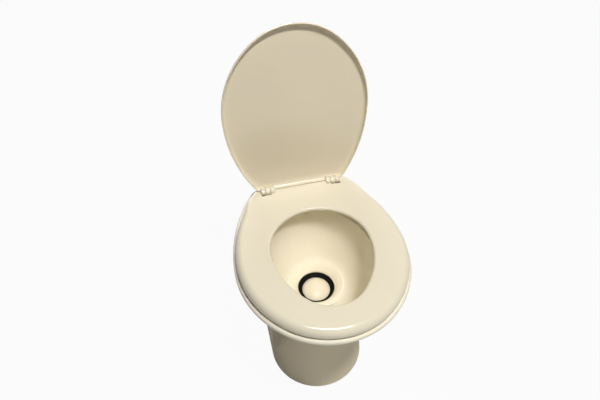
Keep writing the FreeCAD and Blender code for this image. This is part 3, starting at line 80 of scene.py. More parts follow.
# Each hinge, measured along X from the middle plane outwards: where the knuckles of seat, stand and
# lid begin and end, the rods that cut room for them, as radius and place, and two corners of the
# notch in the seat. Rods and knuckles differ in their columns, so that no two edges lie together.
KNUCKLE_COLUMNS = 64
ROD_COLUMNS = 54
PIN_HOLE = 0.00405
PIN_ROOM = 0.0043
HOLE_ROOM = 0.0065
KNUCKLE_ROOM = 0.0101
SEAT_KNUCKLE = (0.0615, 0.0715)
STAND_KNUCKLE = (0.072, 0.083)
LID_KNUCKLE = (0.0835, 0.0935)
SEAT_ROD = ((PIN_ROOM, 0.0604), (PIN_ROOM, 0.062), (HOLE_ROOM, 0.062), (HOLE_ROOM, 0.072))
LID_ROD = ((KNUCKLE_ROOM, 0.061), (KNUCKLE_ROOM, 0.0837), (HOLE_ROOM, 0.0837), (HOLE_ROOM, 0.093),
           (PIN_ROOM, 0.093), (PIN_ROOM, 0.0947))
NOTCH_FROM = (0.0713, 0.142, 0.42)
NOTCH_TO = (0.094, 0.21, 0.5)

# How far below the head of its bolt each stud ends, inside the stand.
STUD_SHORT = 0.002

# Control points of the hose, the same as in the part's source, and its radius.
HOSE_ROUTE = ((0.044, 0.092, 0.1824), (0.044, 0.092, 0.2084), (0.0264, 0.161, 0.2524),
              (0, 0.173, 0.316), (0, 0.173, 0.356))
HOSE_RADIUS = 0.0085

# Moulded finishes: the colour's name, the roughness of smooth and of smudged places, and the rest.
MOULDED = {
    "BoneGloss": ("bone", 0.14, 0.21, {}),
    # The bowl's colour is the seat's plastic painted paler: painted light that brightens the inside
    # of the bowl.
    "BoneShell": ("glaze_painted_paler", 0.12, 0.19, {"ior": 1.25}),
    # The lid's colour is the seat's plastic tinted deeper: painted shade for its dimmer underside.
    "BoneLid": ("lid", 0.10, 0.17, {}),
    # The pedestal's colour is the seat's plastic, tinted warmer for the warm shade under the bowl
    # and made paler to lift it: painted shade and painted light.
    "BoneSatin": ("satin", 0.36, 0.46, {"ior": 1.06}),
    "BallPolish": ("ball", 0.3, 0.4, {"ior": 1.4}),
    "WhiteMoulding": ("white", 0.38, 0.5, {}),
    "NaturalNylon": ("nylon", 0.4, 0.52, {}),
    "GearPlastic": ("gear", 0.42, 0.55, {"mottle": 0.8}),
    "SealRubber": ("rubber", 0.5, 0.65, {"mottle": 0.7, "ior": 1.12}),
    "HoseRubber": ("hose", 0.4, 0.55, {"mottle": 0.75}),
    "BumperRubber": ("bumper", 0.5, 0.65, {"mottle": 0.9}),
}

# The stage: floor, light of the air, the points that lamps look at, and the camera's place, lens in
# millimetres and axes.
FLOOR_HALF = 6.0
FLOOR_UNDER = -0.02
FLOOR_TOP = -0.0005
FLOOR_GLOW = 0.95
AIR_LIGHT = 0.14
SEAT_MIDDLE = (0, -0.05, 0.44)
CAMERA_PLACE = (-0.19965, -0.66343, 1.30453)
CAMERA_BACK = (-0.16115, -0.66518, 0.72908)
CAMERA_UP = (0.17817, 0.70700, 0.68441)
CAMERA_LENS = 30.69
CAMERA_SENSOR = 36


def low(node):
    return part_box(node)[0]


def high(node):
    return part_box(node)[1]


def length(name, text, default):
    """A property that holds a length in metres."""
    return bpy.props.FloatProperty(name=name, description=text, default=default, unit="LENGTH")


def colour(name, text, default):
    """A property that holds a linear colour."""
    return bpy.props.FloatVectorProperty(name=name, description=text, default=default,
                                         subtype="COLOR", size=3, min=0.0, max=1.0)


class SeatSizes(bpy.types.PropertyGroup):
    half_width: length("Half width", "Half of the width of the seat", high("seat").x)
    front: length("Front", "Outlet axis to the front of the seat", -low("seat").y)
    rear: length("Rear", "Outlet axis to the rear edge of the seat", 0.163)
    rear_half: length("Rear half width", "Half width at the rear edge", 0.106)
    widest: length("Widest", "Where the seat is widest, along Y", -0.0366)
    corner: length("Corner", "Radius of the two rear corners", 0.0165)
    hole_half: length("Hole half width", "Half width of the opening", 0.107)
    hole_front: length("Hole front", "Outlet axis to the front of the opening", 0.172)
    hole_rear: length("Hole rear", "Outlet axis to the rear of the opening", 0.0784)
    hole_widest: length("Hole widest", "Where the opening is widest, along Y", -0.0256)
    skirt: length("Skirt", "How far the seat hangs below the top of its bumpers", 0.0035)
    under: length("Underside", "Floor to the top of the bumpers", low("seat").z)
    top: length("Top", "Floor to the crown of the seat", HINGE.z)
    crown: length("Crown", "Rise of the top from its edges to its middle", 0.0004)
    outer_round: length("Outer round", "Rounding of the outer edge", 0.0165)
    rear_round: length("Rear round", "Rounding of the straight rear edge", 0.0025)
    inner_round: length("Inner round", "Rounding of the edge of the opening", 0.0055)
    foot_round: length("Foot round", "Rounding of the lower edges", 0.003)
    undercut: length("Undercut", "How far the wall of the opening falls back below", 0.011)


class LidSizes(bpy.types.PropertyGroup):
    half_width: length("Half width", "Half of the width of the lid", high("lid").x)
    front: length("Front", "Outlet axis to the front of the closed lid", 0.224)
    rear: length("Rear", "Outlet axis to the rear edge of the closed lid", 0.155)
    rear_half: length("Rear half width", "Half width at the rear edge", 0.100)
    widest: length("Widest", "Where the lid is widest, along Y", -0.0366)
    corner: length("Corner", "Radius of the two rear corners", 0.020)
    gap: length("Gap", "Gap between closed lid and seat", 0.0005)
    depth: length("Depth", "Height of the closed lid over its edge", 0.014)
    panel: length("Panel", "Thickness of the panel", 0.004)
    edge: length("Edge", "Thickness of the lip round the panel", 0.0024)
    lip_round: length("Lip round", "Rounding of the free edge of the lip", 0.00115)
    inner_round: length("Inner round", "Rounding between panel and lip", 0.008)
    foot_reach: length("Foot reach", "Reach of that rounding along the panel at the hinge", 0.016)
    foot_ease: length("Foot ease", "Distance from the hinge over which that reach grows", 0.05)
    outer_round: length("Outer round", "Rounding of the outer edge", 0.008)
    crown: length("Crown", "Rise of the outside from its edge to its middle", 0.0025)


class BowlSizes(bpy.types.PropertyGroup):
    half_width: length("Half width", "Half of the width of the rim", high("bowl").x)
    front: length("Front", "Outlet axis to the front of the rim", -low("bowl").y)
    rear: length("Rear", "Outlet axis to the rear edge of the deck", high("bowl").y)
    rear_half: length("Rear half width", "Half width of the deck at its rear edge", 0.106)
    widest: length("Widest", "Where the rim is widest, along Y", -0.0366)
    corner: length("Corner", "Radius of the rear corners of the deck", 0.028)
    top: length("Top", "Floor to the top of the rim", high("bowl").z)
    rim_depth: length("Rim depth", "Height of the rim", 0.026)
    rim_round: length("Rim round", "Rounding of the upper edge of the rim", 0.007)
    under_round: length("Under round", "Reach of the roll under the rim", 0.030)
    shoulder_step: length("Shoulder step", "Flat between that roll and the belly", 0.002)
    shoulder_rear: length("Shoulder rear", "Outlet axis to the rear of the belly", 0.146)
    mouth_half: length("Mouth half width", "Half width of the mouth", 0.114)
    mouth_widest: length("Mouth widest", "Where the mouth is widest, along Y", -0.0256)
    mouth_front: length("Mouth front", "Outlet axis to the front of the mouth", 0.186)
    mouth_rear: length("Mouth rear", "Outlet axis to the rear of the mouth", 0.102)
    mouth_foot: length("Mouth foot", "Floor to where the mouth's wall stands upright", 0.400)
    mouth_round: length("Mouth round", "Rounding of the edge of the mouth", 0.006)
    neck_radius: length("Neck radius", "Radius of the neck under the bowl", 0.061)
    neck_bore: length("Neck bore", "Radius of the seat of the outlet seal", 0.0533)
    neck_end: length("Neck end", "Floor to the end of the neck", low("bowl").z)
    lip_under: length("Lip under", "Floor to the underside of the outlet's lip", 0.2595)


class Finishes(bpy.types.PropertyGroup):
    bone: colour("Bone", "Glossy seat plastic", (0.83, 0.755, 0.58))
    # Painted shade: the seat's plastic tinted deeper so that the lid reads as shaded.
    lid: colour("Lid", "Glossy lid plastic", (0.83, 0.735, 0.545))
    # Painted shade and light: the seat's plastic tinted warmer for the shade under the bowl, and
    # made paler.
    satin: colour("Pedestal", "Satin shell plastic", (0.86, 0.77, 0.57))
    # Painted light: the seat's plastic made paler so that the inside of the bowl renders brighter.
    glaze_painted_paler: colour("Bowl", "Glossy bowl plastic", (0.93, 0.865, 0.70))
    ball: colour("Ball", "Polished half ball", (0.83, 0.76, 0.60))
    white: colour("White", "Moulded inner parts", (0.70, 0.69, 0.65))
    nylon: colour("Nylon", "Natural nylon", (0.66, 0.62, 0.52))
    gear: colour("Gear", "Grey gear plastic", (0.055, 0.058, 0.065))
    rubber: colour("Rubber", "Black seal rubber", (0.006, 0.006, 0.006))
    hose: colour("Hose", "Reinforced hose", (0.05, 0.05, 0.055))
    bumper: colour("Bumper", "Pale rubber", (0.55, 0.50, 0.38))
    steel: colour("Steel", "Stainless steel", (0.56, 0.56, 0.55))


class ToiletSettings(bpy.types.PropertyGroup):
    seat: bpy.props.PointerProperty(type=SeatSizes)
    lid: bpy.props.PointerProperty(type=LidSizes)
    bowl: bpy.props.PointerProperty(type=BowlSizes)
    finish: bpy.props.PointerProperty(type=Finishes)


# Outlines: closed plan curves, as arrays of points in order, seen from above.

def quarter(half, long, count=60):
    """A quarter of an egg from its widest point to its tip: a side arc, then a tip arc whose radius
    is the half width squared over the length. The two arcs share their tangent where they meet."""
    tip = half * half / long
    side = long * (half + long) / (2 * half)
    scale = long * long + 2 * half * long + 2 * half * half
    meet_x = half * half * (long + 2 * half) / scale
    meet_y = long * (half + long) ** 2 / scale
    turn = np.arctan2(meet_y, meet_x - half + side)
    side_turn = np.linspace(0, turn, count, endpoint=False)
    tip_turn = np.linspace(turn, np.pi / 2, count)
    x = np.r_[half - side + side * np.cos(side_turn), tip * np.cos(tip_turn)]
    y = np.r_[side * np.sin(side_turn), long - tip + tip * np.sin(tip_turn)]
    return x, y


def flank(half, back, rear_half, corner, count=60):
    """The rear quarter of a shield: an arc from its widest point towards its rear edge, then a
    round corner that touches both the arc and the straight edge."""
    inset = half - rear_half
    bend = (inset * inset + back * back) / (2 * inset)
    rise = back - corner
    corner_x = half - bend + np.sqrt((bend - corner) ** 2 - rise ** 2)
    turn = np.arctan2(rise, corner_x - half + bend)
    side_turn = np.linspace(0, turn, count, endpoint=False)
    corner_turn = np.linspace(turn, np.pi / 2, count)
    x = np.r_[half - bend + bend * np.cos(side_turn), corner_x + corner * np.cos(corner_turn)]
    y = np.r_[bend * np.sin(side_turn), rise + corner * np.sin(corner_turn)]
    return x, y


def mirrored(middle, rear, front):
    """A closed curve from its right rear and right front quarters."""
    x = np.r_[rear[0], -rear[0][::-1], -front[0], front[0][::-1]]
    y = np.r_[rear[1], rear[1][::-1], -front[1], -front[1][::-1]]
    return np.stack([x, middle + y], 1)


def egg(half, middle, front, rear):
    """A closed egg, widest at middle, from -front to rear."""
    return mirrored(middle, quarter(half, rear - middle), quarter(half, middle + front))


def shield(half, middle, front, rear, rear_half, corner):
    """An egg cut off straight at the rear, as seats and lids are."""
    return mirrored(middle, flank(half, rear - middle, rear_half, corner),
                    quarter(half, middle + front))


def ring(curve, middle, columns=COLUMNS):
    """The points of a closed curve at evenly spaced angles about (0, middle)."""
    angle = np.arctan2(curve[:, 1] - middle, curve[:, 0])
    wanted = np.linspace(0, 2 * np.pi, columns, endpoint=False)
    return np.stack([np.interp(wanted, angle, part, period=2 * np.pi) for part in curve.T], 1)


def inset(curve, distance):
    """A closed curve moved inwards along its own normals, by one distance or one for each point."""
    along = np.roll(curve, -1, 0) - np.roll(curve, 1, 0)
    along /= np.linalg.norm(along, axis=1, keepdims=True)
    return curve - np.reshape(distance, (-1, 1)) * np.stack([along[:, 1], -along[:, 0]], 1)


# Surfaces: rows of rings, as one array of rows, columns and coordinates.

def level(curve, z):
    """A ring of points at one height, or at a height for each point."""
    return np.column_stack([curve, np.broadcast_to(z, len(curve))])


def stepped(curve, offsets, heights):
    """One row for each offset and height: the curve moved inwards by the offset, at that height."""
    return np.stack([level(inset(curve, e), z) for e, z in zip(offsets, heights)])


def quarter_turn(count):
    """Angles spread evenly over a quarter turn."""
    return np.linspace(0, np.pi / 2, count)


def eased(part):
    """A smooth step from 0 to 1 as part runs from 0 to 1."""
    part = np.clip(part, 0, 1)
    return part * part * (3 - 2 * part)


def between(first, last, count):
    """Rows spread evenly from one ring to another, without the two."""
    part = np.linspace(0, 1, count + 2)[1:-1, None, None]
    return first + (last - first) * part


def spline(keys, count):
    """Rows on a smooth cubic through the key rings: each ring's slope comes from its neighbours."""
    gaps = np.linalg.norm(np.diff(keys, axis=0), axis=2).mean(1)
    at = np.r_[0, np.cumsum(gaps)]
    slope = np.gradient(keys, at, axis=0)
    where = np.linspace(0, at[-1], count)
    k = np.clip(np.searchsorted(at, where, side="right") - 1, 0, len(gaps) - 1)
    wide = gaps[k][:, None, None]
    t = (where - at[k])[:, None, None] / wide
    return ((2 * t**3 - 3 * t**2 + 1) * keys[k] + (t**3 - 2 * t**2 + t) * wide * slope[k]
            + (3 * t**2 - 2 * t**3) * keys[k + 1] + (t**3 - t**2) * wide * slope[k + 1])


def turned(profile, centre, axis, columns=48):
    """Rows of a turned shape: each profile point, a radius and a place on the axis, runs round."""
    along = np.array(axis, float)
    side = np.roll(along, 1)
    up = np.cross(along, side)
    angle = np.linspace(0, 2 * np.pi, columns, endpoint=False)
    around = np.outer(np.cos(angle), side) + np.outer(np.sin(angle), up)
    profile = np.array(profile, float)
    return (np.array(centre, float) + profile[:, None, :1] * around[None]
            + profile[:, None, 1:] * along)


def block_rows(corner, far):
    """Rows of a plain block: its foot and its head, four corners each."""
    (x0, y0, z0), (x1, y1, z1) = corner, far
    plan = np.array([(x0, y0), (x1, y0), (x1, y1), (x0, y1)], float)
    return np.stack([level(plan, z0), level(plan, z1)])


def skin(name, rows, wrap=False):
    """An object whose faces join neighbouring rows and columns. Columns run round; rows run round
    too with wrap, and otherwise each end is closed by a fan to the middle of its ring."""
    count, columns = rows.shape[:2]
    points = rows.reshape(-1, 3)
    index = np.arange(len(points)).reshape(count, columns)
    after = np.roll(index, -1, 1)
    if wrap:
        upper, upper_after = np.roll(index, -1, 0), np.roll(after, -1, 0)
        quads = np.stack([index, after, upper_after, upper], -1).reshape(-1, 4)
        fans = np.zeros((0, 3), int)
    else:
        quads = np.stack([index[:-1], after[:-1], after[1:], index[1:]], -1).reshape(-1, 4)
        first, last = len(points), len(points) + 1
        points = np.vstack([points, rows[0].mean(0), rows[-1].mean(0)])
        fans = np.vstack([np.stack([after[0], index[0], np.full(columns, first)], 1),
                          np.stack([index[-1], after[-1], np.full(columns, last)], 1)])
    halves = np.vstack([quads[:, [0, 1, 2]], quads[:, [0, 2, 3]], fans])
    a, b, c = (points[halves[:, k]] for k in range(3))
    if np.einsum("ij,ij->", a, np.cross(b, c)) < 0:
        quads, fans = quads[:, ::-1], fans[:, ::-1]
    mesh = bpy.data.meshes.new(name)
    mesh.from_pydata(points.tolist(), [], quads.tolist() + fans.tolist())
    mesh.validate()
    made = bpy.data.objects.new(name, mesh)
    bpy.context.scene.collection.objects.link(made)
    return made


def combine(piece, other, operation):
    """Joins other to piece, or cuts it away, and removes other."""
    step = piece.modifiers.new(operation.title(), "BOOLEAN")
    step.operation = operation
    step.solver = "EXACT"
    step.object = other
    bpy.context.view_layer.update()
    shown = piece.evaluated_get(bpy.context.evaluated_depsgraph_get())
    before, piece.data = piece.data, bpy.data.meshes.new_from_object(shown)
    piece.modifiers.clear()
    piece.data.name = piece.name
    bpy.data.meshes.remove(before)
    bpy.data.objects.remove(other)


def join(piece, other):
    """Puts the mesh of other into piece as a shell of its own, and removes other."""
    both = bmesh.new()
    both.from_mesh(piece.data)
    both.from_mesh(other.data)
    both.to_mesh(piece.data)
    both.free()
    bpy.data.objects.remove(other)


def soft_shaded(piece, crease=35):
    """Smooth shading, with the edges sharper than crease degrees left crisp."""
    piece.data.shade_smooth()
    piece.data.set_sharp_from_angle(angle=np.radians(crease))


def dress(piece, body, slot, material, *stands_for):
    """Puts a new piece on its body, with its finish, in place of the nodes it stands for."""
    piece.data.materials.clear()
    piece.data.materials.append(material)
    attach(piece, body)
    if stands_for:
        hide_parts(*stands_for)


def refinish(material, *names):
    """Gives CAD nodes a better material."""
    for name in names:
        for slot in NODES[name].material_slots:
            slot.material = material


# Materials.

def add(tree, kind, inputs=None, **settings):
    """A node with its settings, and its inputs linked or set."""
    made = tree.nodes.new(kind)
    for key, value in settings.items():
        setattr(made, key, value)
    for key, value in (inputs or {}).items():
        if isinstance(value, bpy.types.NodeSocket):
            tree.links.new(value, made.inputs[key])
        else:
            made.inputs[key].default_value = value
    return made


def new_group(name, inputs, outputs):
    """An empty shader node group with its sockets, and its two end nodes."""
    tree = bpy.data.node_groups.new(name, "ShaderNodeTree")
    for title, kind in inputs:
        tree.interface.new_socket(title, in_out="INPUT", socket_type="NodeSocket" + kind)
    for title, kind in outputs:
        tree.interface.new_socket(title, in_out="OUTPUT", socket_type="NodeSocket" + kind)
    return tree, tree.nodes.new("NodeGroupInput"), tree.nodes.new("NodeGroupOutput")


def moulded_skin():
    """Moulded plastic: broad mottling of the colour, smudged gloss and a faint orange peel."""
    found = bpy.data.node_groups.get("MouldedSkin")
    if found:
        return found
    tree, source, end = new_group(
        "MouldedSkin",
        [("Colour", "Color"), ("Shade", "Color"), ("Smooth", "Float"), ("Smudged", "Float")],
        [("Colour", "Color"), ("Roughness", "Float"), ("Height", "Float")])
    place = add(tree, "ShaderNodeTexCoord").outputs["Object"]
    broad = add(tree, "ShaderNodeTexNoise", {"Vector": place, "Scale": 6.0, "Detail": 4.0})
    spread = add(tree, "ShaderNodeMapRange", {"Value": broad.outputs[0], "From Min": 0.35,
                                              "From Max": 0.7})
    tone = add(tree, "ShaderNodeMix", {0: spread.outputs[0], 6: source.outputs["Colour"],
                                       7: source.outputs["Shade"]}, data_type="RGBA")
    smudge = add(tree, "ShaderNodeTexNoise", {"Vector": place, "Scale": 34.0, "Detail": 5.0,
                                              "Roughness": 0.6})
    gloss = add(tree, "ShaderNodeMapRange", {"Value": smudge.outputs[0], "From Min": 0.3,
                                             "From Max": 0.75, "To Min": source.outputs["Smooth"],
                                             "To Max": source.outputs["Smudged"]})
    peel = add(tree, "ShaderNodeTexNoise", {"Vector": place, "Scale": 420.0, "Detail": 2.0})
    for title, socket in (("Colour", tone.outputs[2]), ("Roughness", gloss.outputs[0]),
                          ("Height", peel.outputs[0])):
        tree.links.new(socket, end.inputs[title])
    return tree


def darker(shade, part):
    """A colour with each channel times part, and full alpha."""
    return (*(c * part for c in shade), 1.0)


def moulded(name, shade, smooth, smudged, mottle=0.96, peel=0.00004, ior=1.46):
    """A moulded plastic finish."""
    material = bpy.data.materials.new(name)
    material.use_nodes = True
    tree = material.node_tree
    shader = tree.nodes["Principled BSDF"]
    group = add(tree, "ShaderNodeGroup", node_tree=moulded_skin())
    group.inputs["Colour"].default_value = (*shade, 1.0)
    group.inputs["Shade"].default_value = darker(shade, mottle)
    group.inputs["Smooth"].default_value = smooth
    group.inputs["Smudged"].default_value = smudged
    bump = add(tree, "ShaderNodeBump", {"Height": group.outputs["Height"], "Distance": peel,
                                        "Strength": 0.5})
    tree.links.new(group.outputs["Colour"], shader.inputs["Base Color"])
    tree.links.new(group.outputs["Roughness"], shader.inputs["Roughness"])
    tree.links.new(bump.outputs[0], shader.inputs["Normal"])
    shader.inputs["IOR"].default_value = ior
    return material


def brushed(name, shade):
    """Stainless steel with fine drawn lines along one way."""
    material = bpy.data.materials.new(name)
    material.use_nodes = True
    tree = material.node_tree
    shader = tree.nodes["Principled BSDF"]
    place = add(tree, "ShaderNodeTexCoord").outputs["Object"]
    drawn = add(tree, "ShaderNodeMapping", {"Vector": place, "Scale": (1800.0, 1800.0, 90.0)})
    lines = add(tree, "ShaderNodeTexNoise", {"Vector": drawn.outputs[0], "Scale": 1.0,
                                             "Detail": 3.0})
    rough = add(tree, "ShaderNodeMapRange", {"Value": lines.outputs[0], "To Min": 0.22,
                                             "To Max": 0.42})
    tone = add(tree, "ShaderNodeMix", {0: lines.outputs[0], 6: (*shade, 1.0),
                                       7: darker(shade, 0.86)}, data_type="RGBA")
    tree.links.new(tone.outputs[2], shader.inputs["Base Color"])
    tree.links.new(rough.outputs[0], shader.inputs["Roughness"])
    shader.inputs["Metallic"].default_value = 1.0
    return material


def finish(name):
    """The shared finish of that name, made at its first use."""
    found = bpy.data.materials.get(name)
    if found:
        return found
    tint = bpy.context.scene.toilet.finish
    if name not in MOULDED:
        return brushed(name, tint.steel)
    shade, smooth, smudged, rest = MOULDED[name]
    return moulded(name, getattr(tint, shade), smooth, smudged, **rest)


# Pieces.

class TOILET_OT_bowl(bpy.types.Operator):
    """Builds the bowl: funnel, rim, rear deck and neck as one closed skin"""
    bl_idname = "toilet.bowl"
    bl_label = "Bowl"

    def execute(self, context):
        piece = skin("bowl_shell", bowl_rows(context.scene.toilet.bowl), wrap=True)
        soft_shaded(piece, crease=50)
        dress(piece, "frame", "bone_shell", finish("BoneShell"), "bowl")
        return {"FINISHED"}


def bowl_rows(s):
    """Rows from the outlet up the funnel, over the mouth and the rim, down the outside and back
    through the neck. Each row is an egg or shield outline; funnel and belly are cubics through
    their key outlines, and the edges are quarter circles of offset against height."""
    middle = -0.025
    rim = ring(shield(s.half_width, s.widest, s.front, s.rear, s.rear_half, s.corner), middle)

    def oval(half, y, front, rear, z):
        return level(ring(egg(half, y, front, rear), middle), z)

    mouth = ring(egg(s.mouth_half, s.mouth_widest, s.mouth_front, s.mouth_rear), middle)
    funnel = spline(np.stack([*(oval(*key) for key in FUNNEL), level(mouth, s.mouth_foot),
                              level(mouth, s.top - s.mouth_round)]), 72)
    turn = quarter_turn(8)[1:]
    over = stepped(mouth, s.mouth_round * (np.cos(turn) - 1),
                   s.top - s.mouth_round * (1 - np.sin(turn)))
    turn = quarter_turn(10)
    edge = stepped(rim, s.rim_round * (1 - np.sin(turn)), s.top - s.rim_round * (1 - np.cos(turn)))
    deck = between(over[-1], edge[0], 6)
    base = s.top - s.rim_depth
    turn = quarter_turn(16)[1:]
    fall = s.rim_depth - s.rim_round
    under = stepped(rim, s.under_round * (1 - np.cos(turn)), base + fall * (1 - np.sin(turn)))
    reach = s.under_round + s.shoulder_step
    shoulder = level(ring(egg(s.half_width - reach, s.widest, s.front - reach, s.shoulder_rear),
                          middle), base)
    flat = between(under[-1], shoulder, 3)
    belly = spline(np.stack([shoulder, *(oval(*key) for key in BELLY)]), 28)
    outlet, neck_top = FUNNEL[0][0], BELLY[-1][-1]
    neck = [oval(r, 0, r, r, z) for r, z in (
        (s.neck_radius, neck_top), (s.neck_radius, s.neck_end), (s.neck_bore, s.neck_end),
        (s.neck_bore, s.lip_under), (outlet, s.lip_under))]
    return np.concatenate([funnel, over, deck, edge, under, flat, belly, np.stack(neck)])


class TOILET_OT_seat(bpy.types.Operator):
    """Builds the seat: a crowned ring with two notches and two hinge knuckles"""
    bl_idname = "toilet.seat"
    bl_label = "Seat"

    def execute(self, context):
        piece = skin("seat_ring", seat_rows(context.scene.toilet.seat), wrap=True)
        for side in (-1, 1):
            combine(piece, skin("notch", notch_rows(side)), "DIFFERENCE")
            combine(piece, hinge_rod(side, SEAT_ROD), "DIFFERENCE")
            join(piece, skin("knuckle", knuckle_rows(side, *SEAT_KNUCKLE), wrap=True))
        soft_shaded(piece)
        dress(piece, "seat", "bone_gloss", finish("BoneGloss"), "seat")
        return {"FINISHED"}


def seat_rows(s):
    """Rows round the section of the seat: up its inner edge, over the top, down its outer edge and
    back below. The edges are arcs of offset against height, the inner one rolled under over a wall
    that falls back, and the top rises to its crown as a half sine across the width. Towards the
    straight rear edge the outer round eases to a smaller one, as a smooth step of the distance
    from that edge: from four corner radii before it to one."""
    middle = -0.03
    outer = ring(shield(s.half_width, s.widest, s.front, s.rear, s.rear_half, s.corner), middle)
    inner = ring(egg(s.hole_half, s.hole_widest, s.hole_front, s.hole_rear), middle)
    near = eased((outer[:, 1] - s.rear + 4 * s.corner) / (3 * s.corner))
    roll = s.outer_round + (s.rear_round - s.outer_round) * near
    brow = s.top - s.crown
    under = s.under - s.skirt
    turn = quarter_turn(14)
    bow, lift = 1 - np.cos(turn), 1 - np.sin(turn)
    roll_in = np.linspace(-np.pi / 3, np.pi / 2, 18)
    inside = stepped(inner, -s.inner_round * (1 - np.cos(roll_in)),
                     brow - s.inner_round * (1 - np.sin(roll_in)))
    outside = stepped(outer, np.outer(lift, roll), brow - np.outer(bow, roll))
    top = between(inside[-1], outside[0], 14)
    top[:, :, 2] += s.crown * np.sin(np.pi * np.linspace(0, 1, 16)[1:-1])[:, None]
    foot_out = stepped(outer, s.foot_round * bow, under + s.foot_round * lift)
    foot_in = stepped(inner, -s.undercut - s.foot_round * lift, under + s.foot_round * bow)
    below = between(foot_out[-1], foot_in[0], 3)
    return np.concatenate([inside, top, outside, foot_out, below, foot_in])


def notch_rows(side):
    """A block that frees the seat of one hinge stand, through its rear edge and whole height."""
    (near, front, foot), (far, rear, head) = NOTCH_FROM, NOTCH_TO
    x = sorted((side * near, side * far))
    return block_rows((x[0], front, foot), (x[1], rear, head))


def knuckle_rows(side, near, far, radius=0.0095, edge=0.0012, bulge=0.3):
    """A hinge knuckle: a drum on the hinge line with softened edges and a hole for the pin. Each
    edge has two facets that meet at the share bulge of its width."""
    bend = bulge * edge
    profile = [(PIN_HOLE, near), (radius - edge, near), (radius - bend, near + bend),
               (radius, near + edge), (radius, far - edge), (radius - bend, far - bend),
               (radius - edge, far), (PIN_HOLE, far)]
    return turned(profile, (0, HINGE.y, HINGE.z), (side, 0, 0), KNUCKLE_COLUMNS)


def hinge_rod(side, profile):
    """A stepped rod on the hinge line that cuts room for the pin and the other knuckles."""
    return skin("rod", turned(profile, (0, HINGE.y, HINGE.z), (side, 0, 0), ROD_COLUMNS))


class TOILET_OT_lid(bpy.types.Operator):
    """Builds the lid: a shallow tray with a lip and two hinge knuckles, standing open"""
    bl_idname = "toilet.lid"
    bl_label = "Lid"

    def execute(self, context):
        piece = skin("lid_tray", lid_rows(context.scene.toilet.lid))
        for side in (-1, 1):
            combine(piece, hinge_rod(side, LID_ROD), "DIFFERENCE")
            join(piece, skin("knuckle", knuckle_rows(side, *LID_KNUCKLE), wrap=True))
        line = Matrix.Translation(HINGE)
        piece.data.transform(line @ Matrix.Rotation(-LID_OPEN, 4, "X") @ line.inverted())
        soft_shaded(piece)
        dress(piece, "lid", "bone_gloss", finish("BoneLid"), "lid")
        return {"FINISHED"}


def lid_rows(s):
    """Rows of the closed lid from the middle of its underside out to the lip, round the lip and
    back over the top: flat panel, quarter circles at each edge, and a top that falls with the
    square of the distance from its middle. Towards the hinge the rounding between panel and lip
    becomes a quarter ellipse, as a smooth step of the distance from the rear edge."""
    middle = s.widest
    outer = ring(shield(s.half_width, middle, s.front, s.rear, s.rear_half, s.corner), middle)
    inner = ring(shield(s.half_width - s.edge, middle, s.front - s.edge, s.rear - s.edge,
                        s.rear_half - s.edge / 2, s.corner - s.edge), middle)
    base = HINGE.z + s.gap
    top = base + s.depth
    panel = top - s.panel
    hub = np.array([0, middle])
    near = eased(1 - (s.rear - inner[:, 1]) / s.foot_ease)
    reach = s.inner_round + (s.foot_reach - s.inner_round) * near
    field = inset(inner, reach)
    under = np.stack([level(hub + p * (field - hub), panel) for p in np.linspace(HUB, 1, 20)])
    turn = quarter_turn(9)[1:]
    bend = stepped(inner, np.outer(1 - np.sin(turn), reach),
                   panel - s.inner_round * (1 - np.cos(turn)))
    turn = quarter_turn(6)
    bow, lift = s.lip_round * (1 - np.cos(turn)), s.lip_round * (1 - np.sin(turn))
    lip_in = stepped(inner, -bow, base + lift)
    lip_out = stepped(outer, lift, base + bow)
    turn = quarter_turn(12)
    brow = top - s.crown
    shoulder = stepped(outer, s.outer_round * (1 - np.cos(turn)),
                       brow - s.outer_round * (1 - np.sin(turn)))
    crown_plan = inset(outer, s.outer_round)
    over = np.stack([level(hub + p * (crown_plan - hub), top - s.crown * p * p)
                     for p in np.linspace(1, HUB, 24)[1:]])
    return np.concatenate([under, bend, lip_in, lip_out, shoulder, over])


class TOILET_OT_hinges(bpy.types.Operator):
    """Builds the two hinge stands on the deck and the threaded bolts that hold them"""
    bl_idname = "toilet.hinges"
    bl_label = "Hinge stands and bolts"

    def execute(self, context):
        bolts = None
        for side, word in ((-1, "left"), (1, "right")):
            post = "hinge_post_" + word
            knuckle = knuckle_rows(side, *STAND_KNUCKLE)
            stand = skin("hinge_stand_" + word, knuckle, wrap=True)
            for rows in stand_rows(post):
                combine(stand, skin("stand", rows), "UNION")
            soft_shaded(stand)
            dress(stand, "frame", "bone_gloss", finish("BoneGloss"), post)
            rod = skin("hinge_studs", stud_rows((low(post).x + high(post).x) / 2, HINGE.y,
                                                low("hinge_bolts").z,
                                                high("hinge_bolts").z - STUD_SHORT))
            if bolts:
                join(bolts, rod)
            bolts = bolts or rod
        soft_shaded(bolts, crease=25)
        dress(bolts, "frame", "nylon", finish("NaturalNylon"), "hinge_bolts")
        return {"FINISHED"}


def stand_rows(post, front_height=0.0151, rear_height=0.009, sunk=0.008, step=0.0004,
               neck_rear=0.0032, head_front=0.0098, head_rear=0.0045, head_drop=0.004):
    """Two blocks under a hinge knuckle, each as a lower and an upper ring of four corners: a foot
    whose top falls to the rear, and a neck that leans forward out of the way of the open lid. The
    neck starts inside the foot and ends inside the knuckle, below the hinge line."""
    least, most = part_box(post)

    def corners(front, rear, z_front, z_rear):
        return [(least.x, front, z_front), (most.x, front, z_front),
                (most.x, rear, z_rear), (least.x, rear, z_rear)]

    deck = least.z
    foot = [corners(least.y, most.y, deck, deck),
            corners(least.y, most.y, deck + front_height, deck + rear_height)]
    neck = [corners(least.y + step, HINGE.y - neck_rear, deck + sunk, deck + sunk),
            corners(HINGE.y - head_front, HINGE.y - head_rear, HINGE.z - head_drop,
                    HINGE.z - head_drop)]
    return np.array(foot), np.array(neck)


